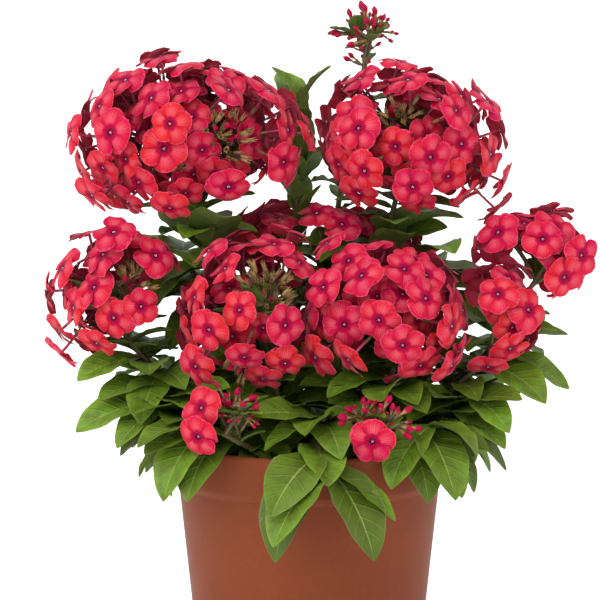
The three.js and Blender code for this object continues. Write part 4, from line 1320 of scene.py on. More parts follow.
@once
def bud_finish():
    colours, greens = bpy.context.scene.phlox_florets, bpy.context.scene.phlox_greens
    finish = Finish("phlox_bud", colours.bud, Roughness=0.5, Specular_IOR_Level=0.15)
    place, along = finish.places()[1:]
    tint = finish.own("tint")
    finish.coat(tint, colours.crimson)
    finish.coat(finish.step(along, 0.82, 1.0) * 0.6, colours.throat)
    height = finish.mottle(colours.eye, 260.0, 0.5)
    ribs = finish.fine_lines(place, 5.0, 0.5)
    sleeve = finish.blend(ribs, solid(greens.dry_calyx), solid(greens.calyx))
    sleeve = finish.blend(finish.step(along, 0.1, 0.42) * (tint * 0.8), sleeve, solid(greens.flush))
    finish.body = finish.blend(finish.step(along + ribs * -0.08, 0.4, 0.34), finish.body, sleeve)
    return finish.done(height, 0.1)


@once
def calyx_finish():
    colours = bpy.context.scene.phlox_greens
    finish = Finish("phlox_calyx", colours.calyx, Roughness=0.6)
    place, along = finish.places()[1:]
    tint = finish.own("tint")
    finish.coat(tint, colours.dry_calyx)
    ribs = finish.fine_lines(place, 10.0, 0.6)
    finish.coat(ribs * 0.35, colours.stalk)
    flushed = finish.step(tint, 0.75, 0.1) * finish.step(along, 0.3, 0.6)
    finish.coat(flushed * 0.7, colours.flush)
    height = finish.mottle(colours.stalk, 350.0, 0.3)
    return finish.done(height * 0.6 + ribs * 0.4, 0.12)


@once
def stalk_finish():
    colours = bpy.context.scene.phlox_greens
    finish = Finish("phlox_stalk", colours.stalk, Roughness=0.5)
    finish.coat(finish.own("tint"), colours.flush)
    height = finish.mottle(colours.flush, 90.0, 0.4)
    return finish.done(height, 0.2)


@once
def leaf_finish():
    colours = bpy.context.scene.phlox_greens
    finish = Finish("phlox_leaf", colours.leaf_dark, Specular_IOR_Level=0.24)
    step = finish.step
    across_share, _, along = finish.places()
    tint = finish.own("tint")
    finish.coat(tint, colours.leaf_light)
    height = finish.mottle(colours.leaf_dark, 110.0, 0.75)
    rim = step(across_share, 0.45, 1.0) * step(tint, 0.1, 1.0)
    finish.coat(rim * 0.55, colours.leaf_edge)
    laterals = finish.fine_lines(along, float(LEAF_ROWS), 0.3)
    laterals = laterals * step(across_share, 1.0, 0.7) * step(along, 0.88, 0.75)
    finish.coat(laterals * 0.12, colours.leaf_vein)
    foot = step(along, 0.55, 0.0) * 0.5
    finish.coat(foot, colours.leaf_dark)
    midrib = step(across_share + along * 0.03, 0.065, 0.03)
    finish.coat(midrib * 0.55, colours.leaf_vein)
    margin = step(across_share, 0.94, 0.99)
    finish.coat(margin * 0.2, colours.leaf_vein)
    under = finish.own("under")
    finish.coat(under * 0.7, colours.leaf_under)
    return finish.done(height * 0.5 - laterals * 0.9, 0.45, under * 0.2 + height * 0.2 + 0.36)


@once
def pot_finish():
    colours = bpy.context.scene.phlox_pot
    finish = Finish("nursery_pot_plastic", colours.wall, Specular_IOR_Level=0.08)
    height = finish.mottle(colours.wall_shade, 9.0, 0.7)
    grain = finish.mottle(colours.dust, 420.0, 0.12)
    return finish.done(grain, 0.03, height * 0.2 + grain * 0.12 + 0.36)


@once
def mix_finish():
    colours = bpy.context.scene.phlox_pot
    finish = Finish("potting_mix_peat", colours.mix, Roughness=0.95, Specular_IOR_Level=0.2)
    height = finish.mottle(colours.mix_light, 180.0, 0.8)
    grain = finish.mottle(colours.dust, 900.0, 0.3)
    return finish.done(height * 0.6 + grain * 0.4, 0.8)


@once
def floor_finish():
    stage = bpy.context.scene.phlox_stage
    finish = Finish("studio_floor", stage.floor, Roughness=0.9, Specular_IOR_Level=0.1,
                    Emission_Color=solid(stage.floor), Emission_Strength=0.75)
    finish.mottle([c * 0.98 for c in stage.floor], 3.0, 0.5)
    return finish.done()


# ---------------------------------------------------------------- flower heads

# Pairs of numbers are the least and the most that is added to it; pairs of radii are those at the two ends.
FIRST_EXTRA_SEED = 501
FULL_SPIN = 6.28
THIN_SIDES = 6
FLORET_SHRINK = 0.94
TINT_SPREAD = 0.6
# Painted light colour: how far florets that face up are turned towards crimson.
UPWARD_PAINTED_LIGHT_TINT = 0.5
TUBE_LENGTH = 20.0
TUBE_POINTS = 10
TUBE_PULL = 0.45
TUBE_RADII = (0.75, 0.95)
TUBE_MOUTH = 1.06
FRESH_CALYX_SIZE = (0.75, 0.15)
FRESH_CALYX_TINT = 0.4
BARE_CALYX_SIZE = (0.85, 0.3)
BARE_CALYX_TINT = (0.3, 0.7)
CALYX_BOW = 0.8
CALYX_STALK_POINTS = 5
PEDICEL_RADIUS = 0.55
PEDICEL_TINT = 0.6
TIP_DEPTH = 7.0
TIP_FRONT = 20.0
BUD_SWELL = 1.45
BUD_SIZE = (0.62, 0.4)
BUD_STALK_ROOM = 4
BUD_STALK_POINTS = 4
BUD_IN_CALYX = 4.5
BUD_CALYX_TINT = 0.3
BUD_STALK_TINT = 0.7

FILLER_SHARE = 2.4
FILLER_BARE_SHARE = 0.74
FILLER_GAP = 13.0
FILLER_REACH = 12
FILLER_WANDER = 0.35
FILLER_LEVEL = (0.62, 0.38)
FILLER_SIZE = (0.84, 0.14)

CALYX_SPACING = 26.0
TUFT_SIZE = 4
TUFT_REACH = 0.85
TUFT_LEVEL = (0.46, 0.14)
TUFT_RADIUS = 0.85
TUFT_TINT = 0.4
PATCH_WANDER = 0.22
PATCH_LEVEL = (0.76, 0.24)
BUD_SHARE = 0.16

CROWN_DEPTH = 0.5
CROWN_POINTS = 7
CROWN_RADII = (1.5, 0.8)
WHORL_SHARES = (0.25, 0.5, 0.75, 1.0)
WHORL_BUDS = 5
WHORL_RISE = (10, 65)
WHORL_REACH = 17.0
WHORL_LENGTH = (0.6, 0.45)

BRACT_GAP = 2.0
BRACT_TURN = 0.5
BRACT_SEAT = 1.2
BRACT_WAVE = 0.3
BRACT_DROOP = (25, 25)
BRACT_TRIES = (1, 0.8, 0.62)
# A head whose three radii add up to HEAD_BRACT_RADII has HEAD_BRACTS small leaves, and others in proportion.
HEAD_BRACTS = 20
HEAD_BRACT_RADII = 130
HEAD_BRACT_SPAN = 0.9
# Degrees by the place on the stalk, by a draw, and taken off.
HEAD_BRACT_RISE = (70, 25, 5)
HEAD_BRACT_REACH = 0.66
HEAD_BRACT_SPREAD = 0.2
BUD_BRACTS = 12
BUD_BRACT_SPAN = (0.2, 0.75)
BUD_BRACT_OUTWARDS = 0.9
BUD_BRACT_RISE = (15, 45)
BUD_BRACT_LENGTH = 17.0
BUD_BRACT_SIZE = (0.75, 0.5)

RACHIS_POINTS = 9
RACHIS_TIP_RADIUS = 1.1
RACHIS_TINT = 0.1
HIGHEST_BRANCH = 0.95
BRANCH_POINTS = 7
BRANCH_ARCH = 0.12
BRANCH_RADII = (1.3, 1.5)
BRANCH_TINT = 0.2


def spot(at, u, facing, size, shape, tint):
    return {"at": at, "u": u, "facing": facing, "size": size, "shape": shape, "tint": tint}


def on_axes(axes, cap):
    """A point given on axes of its own, in the plant's frame."""
    return axes[0] * cap[0] + axes[1] * cap[1] + axes[2] * cap[2]


class HeadParts:
    """What a head is made of: places of petals, calyces and buds, lines of tubes and stalks, and bracts."""

    def __init__(self, layout, claims):
        self.head = layout["head"]
        self.is_bud_head = self.head in BUD_HEADS
        self.root, self.top, self.cymes = layout["root"], layout["top"], layout["cymes"]
        self.leaning = layout["leaning"]
        self.claims = claims
        self.draw = random_stream(FIRST_EXTRA_SEED + self.head["seed"])
        self.petals, self.calyces, self.buds, self.tubes, self.stalks, self.bracts = [], [], [], [], [], []

    def has_room(self, balls):
        return self.claims.clear(balls, self.head["name"])

    def add_stalk(self, start, end, count, radii, tint, pull=None):
        """A thin stalk; it bends towards the pull where there is one."""
        pull = (start + end) / 2 if pull is None else pull
        self.stalks.append((curve_between(start, pull, end, count), radii, tint))

    def add_floret(self, floret):
        """Petals, the tube behind them, the calyx at its foot and the thin stalk below it."""
        draw, facing, foot = self.draw, floret["facing"], floret["foot"]
        radius = floret["diameter"] / 2 * FLORET_SHRINK
        # Painted light colour: florets that face up are turned towards crimson, for how the light falls on
        # them; the rest of the tint is drawn at random.
        tint = min(1.0, TINT_SPREAD * draw() + UPWARD_PAINTED_LIGHT_TINT * max(0.0, facing[2]))
        shape = int(draw() * PETAL_SHAPES) % PETAL_SHAPES
        self.petals.append(spot(floret["middle"], floret["axes"][0], facing, radius * MM, shape, tint))
        throat = floret["middle"] - facing * THROAT_DIP * radius
        length = distance(throat, foot)
        line = curve_between(foot, throat - facing * TUBE_PULL * length, throat, TUBE_POINTS)
        cut = 1
        if length > TUBE_LENGTH:
            cut = max(1, round((TUBE_POINTS - 1) * (1 - TUBE_LENGTH / length)))
        widths = np.linspace(*TUBE_RADII, TUBE_POINTS - cut)
        widths[-1] = PETAL_THROAT * radius * TUBE_MOUTH
        self.tubes.append((line[cut:], widths, tint))
        self.stalks.append((line[:cut + 1], PEDICEL_RADIUS, PEDICEL_TINT))
        size = drawn(draw, FRESH_CALYX_SIZE)
        self.add_calyx(line[cut], unit(line[cut + 1] - line[cut]), size, FRESH_CALYX_TINT * draw())

    def is_behind_petal(self, tip, depth=TIP_DEPTH, front=TIP_FRONT):
        """Whether a tip would stick through a floret of its own head, or hide it."""
        for floret in self.petals:
            aside = tip - floret["at"]
            height = aside @ floret["facing"]
            radius = floret["size"] / MM
            if -depth < height < front and np.linalg.norm(aside - floret["facing"] * height) < radius:
                return True
        return False

    def add_calyx(self, at, facing, size, tint):
        u = across(facing, self.draw() * FULL_SPIN)[0]
        self.calyces.append(spot(at, u, facing, size, 0, tint))

    def add_bare_calyx(self, foot, tip, tint):
        """A calyx whose floret has dropped, on its stalk."""
        if self.is_behind_petal(tip):
            return
        heading = unit(tip - foot)
        base = tip - heading * CALYX_LENGTH
        pull = (foot + base) / 2 + heading[[1, 0, 2]] * CALYX_BOW
        self.add_stalk(foot, base, CALYX_STALK_POINTS, PEDICEL_RADIUS, tint, pull)
        self.add_calyx(base, heading, drawn(self.draw, BARE_CALYX_SIZE), tint)

    def add_bud(self, foot, tip):
        """A rolled bud in its calyx, wherever it passes no petal."""
        if self.is_behind_petal(tip, front=BUD_SHAPE_LENGTH):
            return
        heading = unit(tip - foot)
        swell = BUD_SWELL if self.is_bud_head else 1.0
        room = distance(foot, tip) / (BUD_SHAPE_LENGTH + BUD_STALK_ROOM)
        size = min(swell, room) * drawn(self.draw, BUD_SIZE)
        base = tip - heading * BUD_SHAPE_LENGTH * size
        u = across(heading, self.draw() * FULL_SPIN)[0]
        self.buds.append(spot(base, u, heading, size, 0, self.draw()))
        cup = base - heading * BUD_IN_CALYX * size
        self.add_calyx(cup, heading, size, BUD_CALYX_TINT * self.draw())
        self.add_stalk(foot, cup, BUD_STALK_POINTS, PEDICEL_RADIUS, BUD_STALK_TINT)

    def add_fillers(self):
        """Florets that stand lower, between the ones on the dome."""
        head, draw = self.head, self.draw
        count = int(head["florets"] * FILLER_SHARE)
        widest = math.radians(head["widest"] + FILLER_REACH)
        for i in range(count):
            place = turned(spot_on_cap(i, count, widest), self.leaning)
            direction = unit(place + drift(draw) * FILLER_WANDER)
            middle = on_dome(head, direction, drawn(draw, FILLER_LEVEL))
            spin = draw() * 2 * math.pi
            is_open = is_bare(head, direction, FILLER_BARE_SHARE)
            if is_open or any(distance(middle, other["at"]) < FILLER_GAP for other in self.petals):
                continue
            foot = foot_on(nearest(self.cymes, middle)["knot"], middle)
            facing = unit(unit(middle - foot) + unit(direction / vec(head["radii"])))
            floret = {"middle": middle, "foot": foot, "facing": facing, "axes": across(facing, spin),
                      "diameter": FLORET_DIAMETER * drawn(draw, FILLER_SIZE)}
            if self.has_room([(at, radius / 2) for at, radius in balls_of_floret(floret)]):
                self.add_floret(floret)

    def add_patches(self):
        """Stands calyces all over the bare patches, in small tufts."""
        head, draw = self.head, self.draw
        mean = sum(head["radii"]) / 3
        for toward, reach in head["bare"]:
            reach = math.radians(reach)
            middle = unit(toward)
            axes = np.array([*across(middle, 0.0), middle])
            count = round(2 * math.pi * mean ** 2 * (1 - math.cos(reach)) / CALYX_SPACING)
            tufts = []
            for i in range(count // TUFT_SIZE + 1):
                cap = spot_on_cap(i, count // TUFT_SIZE + 1, reach * TUFT_REACH)
                knot = on_dome(head, on_axes(axes, cap), drawn(draw, TUFT_LEVEL))
                foot = foot_on(nearest(self.cymes, knot)["knot"], knot)
                if self.has_room(balls_along(foot, knot, BUD_BALL_SHARES, BUD_RADIUS)):
                    tufts.append({"knot": knot})
                    self.add_stalk(foot, knot, BUD_STALK_POINTS, TUFT_RADIUS, TUFT_TINT)
            for i in range(count if tufts else 0):
                cap = spot_on_cap(i, count, reach)
                direction = unit(on_axes(axes, cap) + drift(draw) * PATCH_WANDER)
                tip = on_dome(head, direction, drawn(draw, PATCH_LEVEL))
                foot = foot_on(nearest(tufts, tip)["knot"], tip)
                if not self.has_room(balls_along(foot, tip, BUD_BALL_SHARES, BUD_RADIUS)):
                    continue
                if draw() < BUD_SHARE:
                    self.add_bud(foot, tip)
                else:
                    self.add_bare_calyx(foot, tip, drawn(draw, BARE_CALYX_TINT))

    def add_whorls(self):
        """Buds in whorls up the middle stalk of a bud head and at the ends of its branches."""
        root, draw = self.root, self.draw
        crown = on_dome(self.head, unit(self.head["lean"]), CROWN_DEPTH)
        self.add_stalk(root, crown, CROWN_POINTS, np.linspace(*CROWN_RADII, CROWN_POINTS), BRANCH_TINT)
        knots = [root + (crown - root) * share for share in WHORL_SHARES]
        for knot in knots + [cyme["knot"] for cyme in self.cymes]:
            for i in range(WHORL_BUDS):
                bearing = GOLDEN_ANGLE * i + draw()
                rise = math.radians(drawn(draw, WHORL_RISE))
                heading = compass(bearing) * math.cos(rise) + UP * math.sin(rise)
                tip = knot + heading * WHORL_REACH * drawn(draw, WHORL_LENGTH)
                if self.has_room(balls_along(knot, tip, BUD_BALL_SHARES, BUD_RADIUS)):
                    self.add_bud(knot, tip)

    def head_bract(self, i, count):
        """Where a small leaf of an open head stands: its share of the stalk, its root, bearing and rise."""
        share = HEAD_BRACT_SPAN * i / count
        bearing = GOLDEN_ANGLE * i + BRACT_TURN * self.draw()
        steepest, spread, less = HEAD_BRACT_RISE
        rise = math.radians(steepest * share + spread * self.draw() - less)
        return share, self.root + (self.top - self.root) * share, bearing, rise

    def bud_head_bract(self, i, count):
        """The same for a head in bud, where two leaves in three stand out on a branch."""
        least, spread = BUD_BRACT_SPAN
        share = least + spread * i / count
        node = self.root + (self.top - self.root) * share
        bearing = GOLDEN_ANGLE * i + BRACT_TURN * self.draw()
        if i % 3:
            knot = self.cymes[i % len(self.cymes)]["knot"]
            node = node + (knot - node) * BUD_BRACT_OUTWARDS
        return share, node, bearing, math.radians(drawn(self.draw, BUD_BRACT_RISE))

    def add_bracts(self):
        """Small leaves at the branches inside the head, wherever they pass no petal."""
        draw, radii = self.draw, self.head["radii"]
        count = BUD_BRACTS if self.is_bud_head else HEAD_BRACTS * sum(radii) // HEAD_BRACT_RADII
        stand = self.bud_head_bract if self.is_bud_head else self.head_bract
        least_droop, more_droop = BRACT_DROOP
        for i in range(round(count)):
            share, node, bearing, rise = stand(i, count)
            full = sum(radii) / 3 * HEAD_BRACT_REACH * (1 + HEAD_BRACT_SPREAD * draw())
            if self.is_bud_head:
                full = BUD_BRACT_LENGTH * drawn(draw, BUD_BRACT_SIZE)
            roll = centred(draw, ROLL_WANDER)
            for shorter in BRACT_TRIES:
                length = full * shorter
                bract = {"droop": math.radians(least_droop + more_droop * share), "roll": roll, "rise": rise,
                         "bearing": bearing, "root": node + compass(bearing) * BRACT_SEAT, "length": length,
                         "width": length * LEAF_BREADTH, "age": share}
                at = balls_of_leaf(bract)[0]
                hidden = any(self.is_behind_petal(place, BRACT_GAP, BRACT_GAP) for place in at)
                if not hidden and self.has_room([(place, INNER_BALL_RADIUS) for place in at]):
                    self.bracts.append(bract)
                    break

    def add_branches(self):
        """The stalk that carries on from the stem, and its side branches."""
        rachis = self.top - self.root
        path = self.root + rachis * np.linspace(0, 1, RACHIS_POINTS)[:, None]
        self.stalks.append((path, np.linspace(RACHIS_RADIUS, RACHIS_TIP_RADIUS, RACHIS_POINTS), RACHIS_TINT))
        widths = np.linspace(*BRANCH_RADII, BRANCH_POINTS)
        for i, cyme in enumerate(self.cymes):
            start = self.root + rachis * (HIGHEST_BRANCH - BRANCHED_SHARE * i / len(self.cymes))
            pull = (start + cyme["knot"]) / 2 + UP * BRANCH_ARCH * distance(start, cyme["knot"])
            self.add_stalk(start, cyme["knot"], BRANCH_POINTS, widths, BRANCH_TINT, pull)


def head_parts(layout, claims):
    """All the parts of a head, its own florets and buds first, then what fills it."""
    parts = HeadParts(layout, claims)
    parts.add_branches()
    for floret in layout["florets"]:
        parts.add_floret(floret)
    if not parts.is_bud_head:
        parts.add_fillers()
    for bud in layout["buds"]:
        if parts.is_bud_head:
            parts.add_bud(bud["foot"], bud["tip"])
        else:
            parts.add_bare_calyx(bud["foot"], bud["tip"], drawn(parts.draw, BARE_CALYX_TINT))
    if parts.is_bud_head:
        parts.add_whorls()
    else:
        parts.add_patches()
    parts.add_bracts()
    return parts


def set_shapes(name, spots, meshes, material):
    """The shapes set on their spots, as one mesh."""
    if not spots:
        return bpy.data.meshes.new(name)
    shapes = shapes_collection(name + "_shapes", meshes)
    made = grown(name, spots_mesh(name, spots), setting_tree(), shapes=shapes, material=material)
    drop_collection(shapes)
    return made


def rods(name, lines, sides, material):
    if not lines:
        return bpy.data.meshes.new(name)
    return grown(name, lines_mesh(name, lines), rod_tree(), sides=sides, material=material)


def build_head(layout, claims):
    name = layout["head"]["name"]
    parts = head_parts(layout, claims)
    florets = [floret_shape(seed + 1) for seed in range(PETAL_SHAPES)]
    stamens = [dict(place, shape=0) for place in parts.petals]
    flowers = joined_object(name + "_florets", [
        set_shapes("petals", parts.petals, florets, petal_finish()),
        set_shapes("stamens", stamens, [stamen_shape()], stamen_finish()),
        rods("tubes", parts.tubes, THIN_SIDES, tube_finish()),
        set_shapes("buds", parts.buds, [bud_shape()], bud_finish()),
    ])
    bracts = [leaf_blades(parts.bracts, parts.draw, BRACT_WAVE)] if parts.bracts else []
    greens = joined_object(name + "_stalks", [
        rods("stalks", parts.stalks, THIN_SIDES, stalk_finish()),
        set_shapes("calyces", parts.calyces, [calyx_shape()], calyx_finish()),
        *bracts,
    ])
    hand_over(flowers, "buds" if parts.is_bud_head else "florets", name)
    hand_over(greens, "foliage", name)


# ---------------------------------------------------------------- leafy stems

FIRST_LEAF_SEED = 901
BLADE_FULLNESS = 1.25
LEAF_WAVE = 0.9
LEAF_TINT_SPREAD = 0.75
LEAF_TINT_BY_AGE = 0.35
STEM_POINTS = 40
STEM_SIDES = 12
STEM_TAPER = 0.25
STEM_TINT = (0.15, 0.3)
NODE_SWELLING = 0.5
NODE_LENGTH = 0.015


def leaves_mesh(name, leaves, draw):
    """One point for each leaf, with what its arc needs."""
    rows = {label: [leaf[label] for leaf in leaves] for label in ("rise", "droop", "roll", "bearing")}
    rows["length"] = [leaf["length"] * MM for leaf in leaves]
    rows["width"] = [leaf["width"] * BLADE_FULLNESS * MM for leaf in leaves]
    rows["phase"] = [2 * math.pi * draw() for leaf in leaves]
    rows["tint"] = [min(1, LEAF_TINT_SPREAD * draw() + LEAF_TINT_BY_AGE * leaf["age"]) for leaf in leaves]
    attributes = {label: ("FLOAT", "POINT", row) for label, row in rows.items()}
    attributes["root"] = ("FLOAT_VECTOR", "POINT", [leaf["root"] * MM for leaf in leaves])
    return new_mesh(name, np.zeros((len(leaves), 3)), **attributes)


def leaf_blades(leaves, draw, wave_height=LEAF_WAVE):
    blade = bpy.data.objects.new("blade", leaf_shape())
    made = grown("leaf_blades", leaves_mesh("leaves", leaves, draw), leaf_tree(), blade=blade,
                 wave_height=wave_height * MM, material=leaf_finish())
    bpy.data.objects.remove(blade)
    return made


def build_stem(line, index):
    """A round stem, a little thicker where its leaves stand, with its leaves."""
    stem = line["stem"]
    shares = np.linspace(0, 1, STEM_POINTS)
    path = [line["foot"]] + [point_on_stem(line, share) for share in shares]
    pairs = np.linspace(stem["from"], stem["to"], stem["pairs"])
    from_pair = np.abs(shares[:, None] - pairs[None]).min(1)
    swelling = NODE_SWELLING * np.exp(-(from_pair / NODE_LENGTH) ** 2)
    widths = np.append(STEM_RADIUS, STEM_RADIUS * (1 - STEM_TAPER * shares) + swelling)
    draw = random_stream(FIRST_LEAF_SEED + index)
    piece = joined_object(stem["name"] + "_leaves", [
        rods("stem", [(path, widths, drawn(draw, STEM_TINT))], STEM_SIDES, stalk_finish()),
        leaf_blades(line["leaves"] + line["inner_leaves"], draw),
    ])
    hand_over(piece, "foliage", stem["name"])


# ---------------------------------------------------------------- pot and potting mix

WALL_THICKNESS = 2.0
LATHE_SIDES = 128
LATHE_POLE = 0.05
CORNER_REACH = 1.2
CORNER_POINTS = 4
CORNER_SHARE = 2.2
DRILL_SIDES = 24
SHARP_EDGE = math.radians(40)
MIX_SEED = 77
MIX_SIDES = 96
MIX_RINGS = 26
MIX_MOUND = 3.2
MIX_EDGE_GAP = 1.6
MIX_EDGE_DROP = 0.4
MIX_ROUGHNESS = 1.2
MIX_CROWN_RADIUS = RIM_INNER_RADIUS - 4
CRUMBS = 420
CRUMB_SIZE = (0.6, 1.1)
CRUMB_SIDES = 6
CRUMB_PROFILE = [(0.5, -0.9, 0), (1.4, -0.2, 0.3), (1.1, 0.6, 0.1), (0.4, 0.9, 0)]
CRUMB_UPRIGHT = 0.7


def wall_radius(height):
    return BASE_RADIUS + (WALL_TOP_RADIUS - BASE_RADIUS) * height / COLLAR_FOOT


def rounded(profile):
    """Rounds each corner of an outline of (radius, height) by a short curve."""
    points = [vec(point) for point in profile]
    smooth = [points[0]]
    for before, corner, after in zip(points, points[1:], points[2:]):
        ends = []
        for other in (before, after):
            reach = min(CORNER_REACH, distance(other, corner) / CORNER_SHARE)
            ends.append(corner + unit(other - corner) * reach)
        smooth.extend(curve_between(ends[0], corner, ends[1], CORNER_POINTS))
    return smooth + [points[-1]]


def lathe_mesh(name, profile, sides):
    """A closed turned body; the outline starts and ends near the axis."""
    rings = [ring(max(radius, LATHE_POLE), height, sides) for radius, height in profile]
    return ring_shell(name, rings)


def pot_profile():
    """The outline of base, wall, collar and inside, as (radius, height) from the middle of the foot."""
    channel_outer = BASE_RADIUS - FOOT_WIDTH
    channel_inner = DRAIN_RING_RADIUS - 2.5 * DRAIN_HOLE_RADIUS
    return [
        (0, 0), (channel_inner, 0), (channel_inner + 1, CHANNEL_DEPTH), (channel_outer - 1, CHANNEL_DEPTH),
        (channel_outer, 0), (wall_radius(0), 0), (wall_radius(COLLAR_FOOT), COLLAR_FOOT),
        (POT_RIM_RADIUS - 3, COLLAR_FOOT + 0.5), (POT_RIM_RADIUS - 1, COLLAR_FOOT + 4),
        (POT_RIM_RADIUS, POT_HEIGHT - 1.5), (POT_RIM_RADIUS - 1.2, POT_HEIGHT),
        (RIM_INNER_RADIUS, POT_HEIGHT), (RIM_INNER_RADIUS - 1, COLLAR_FOOT + 4),
        (wall_radius(COLLAR_FOOT) - WALL_THICKNESS, COLLAR_FOOT),
        (wall_radius(BASE_THICKNESS) - WALL_THICKNESS, BASE_THICKNESS), (0, BASE_THICKNESS),
    ]


def finish_smooth(mesh, material):
    mesh.materials.clear()
    mesh.materials.append(material)
    mesh.polygons.foreach_set("use_smooth", [True] * len(mesh.polygons))


def build_pot_piece():
    """The turned wall with its collar and foot, and the drain holes cut through its base."""
    pot = new_object("pot_wall", lathe_mesh("pot_wall", rounded(pot_profile()), LATHE_SIDES))
    drills = []
    for i in range(DRAIN_HOLES):
        middle = compass(2 * math.pi * i / DRAIN_HOLES) * DRAIN_RING_RADIUS
        ends = [ring(DRAIN_HOLE_RADIUS, height, DRILL_SIDES) + middle for height in (-1, BASE_THICKNESS + 1)]
        drills.append(ring_shell(f"drill_{i}", ends))
    drill = joined_object("drills", drills)
    cut = pot.modifiers.new("drain_holes", "BOOLEAN")
    cut.object = drill
    cut.operation = "DIFFERENCE"
    cut.solver = "EXACT"
    bpy.context.view_layer.update()
    mesh = bpy.data.meshes.new_from_object(pot.evaluated_get(bpy.context.evaluated_depsgraph_get()))
    bpy.data.objects.remove(drill)
    bpy.data.objects.remove(pot)
    finish_smooth(mesh, pot_finish())
    mesh.set_sharp_from_angle(angle=SHARP_EDGE)
    hand_over(new_object("nursery_pot", mesh), "pot", "pot")


def mound(radius):
    """The height of the mix, which rises a little towards its middle."""
    return SOIL_EDGE_HEIGHT + MIX_MOUND * (1 - (radius / RIM_INNER_RADIUS) ** 2)


def build_mix_piece():
    """The mix fills the pot; its crown is uneven and strewn with crumbs of peat and bark."""
    inside = WALL_THICKNESS + CLEARANCE
    floor = BASE_THICKNESS + CLEARANCE
    edge = RIM_INNER_RADIUS - MIX_EDGE_GAP
    crown = [(radius, mound(radius)) for radius in np.linspace(MIX_CROWN_RADIUS, 1, MIX_RINGS)]
    profile = [(0, floor), (wall_radius(floor) - inside, floor),
               (wall_radius(COLLAR_FOOT) - inside, COLLAR_FOOT + CLEARANCE), (edge, COLLAR_FOOT + 4),
               (edge, SOIL_EDGE_HEIGHT - MIX_EDGE_DROP), *crown, (0, SOIL_EDGE_HEIGHT + MIX_MOUND)]
    body = lathe_mesh("mix_body", profile, MIX_SIDES)
    draw = random_stream(MIX_SEED)
    for vertex in body.vertices:
        if vertex.co.z > (SOIL_EDGE_HEIGHT - MIX_EDGE_DROP / 2) * MM:
            vertex.co.z += (draw() - 0.5) * MIX_ROUGHNESS * MM
    finish_smooth(body, mix_finish())
    crumbs = []
    least, spread = CRUMB_SIZE
    for i in range(CRUMBS):
        radius = MIX_CROWN_RADIUS * math.sqrt((i + 0.5) / CRUMBS)
        angle = i * GOLDEN_ANGLE
        at = vec((radius * math.cos(angle), radius * math.sin(angle), mound(radius)))
        facing = unit((draw() - 0.5, draw() - 0.5, CRUMB_UPRIGHT))
        u = across(facing, draw() * FULL_SPIN)[0]
        crumbs.append(spot(at, u, facing, least + spread * draw() ** 2, 0, draw()))
    lump = [ring(radius, height, CRUMB_SIDES, turn) for radius, height, turn in CRUMB_PROFILE]
    strewn = set_shapes("crumbs", crumbs, [ring_shell("crumb", lump)], mix_finish())
    hand_over(joined_object("peat_mix", [body, strewn]), "potting_mix", "potting_mix")


# ---------------------------------------------------------------- stage

CAMERA_PLACE = (-5.6, -1500.0, 410.0)
CAMERA_TARGET = (-5.6, 0.0, 218.0)
MM_PER_PIXEL = 0.61
PICTURE_PIXELS = 600
SENSOR_WIDTH = 36.0
KEY_LIGHT_PLACE = (-900, -1200, 1800)
KEY_LIGHT_SPREAD = 60
FILL_LIGHT_PLACE = (1300, -1100, 700)
FILL_LIGHT_SPREAD = 80
FLOOR_RADIUS = 90000.0
FLOOR_SIDES = 64
WHITE = (1.0, 1.0, 1.0, 1.0)


def aim(thing, place, target):
    thing.location = Vector(place) * MM
    thing.rotation_euler = (Vector(target) - Vector(place)).to_track_quat("-Z", "Y").to_euler()


def build_camera():
    camera = bpy.data.cameras.new("view_camera")
    camera.sensor_width = SENSOR_WIDTH
    reach = distance(vec(CAMERA_PLACE), vec(CAMERA_TARGET))
    camera.lens = SENSOR_WIDTH * reach / (MM_PER_PIXEL * PICTURE_PIXELS)
    view = new_object("view_camera", camera)
    aim(view, CAMERA_PLACE, CAMERA_TARGET)
    bpy.context.scene.camera = view


def build_light(name, place, spread, strength):
    """A soft light from far away, so wide that its shadows have no edge."""
    lamp = bpy.data.lights.new(name, "SUN")
    lamp.angle = math.radians(spread)
    lamp.energy = strength
    aim(new_object(name, lamp), place, CAMERA_TARGET)


def build_floor():
    mesh = new_mesh("studio_floor", ring(FLOOR_RADIUS, 0.0, FLOOR_SIDES), (), [list(range(FLOOR_SIDES))])
    mesh.materials.append(floor_finish())
    new_object("studio_floor", mesh)


def build_room_light(strength):
    """Even white light from all sides."""
    world = bpy.data.worlds.new("studio_air")
    world.use_nodes = True
    background = world.node_tree.nodes["Background"]
    background.inputs["Color"].default_value = WHITE
    background.inputs["Strength"].default_value = strength
    bpy.context.scene.world = world


# ---------------------------------------------------------------- the add-on


def colour_property(name, description, red, green, blue):
    return bpy.props.FloatVectorProperty(name=name, description=description, subtype="COLOR", size=3,
                                         min=0.0, max=1.0, default=tone(red, green, blue))


def light_property(name, description, default):
    return bpy.props.FloatProperty(name=name, description=description, default=default, min=0.0)


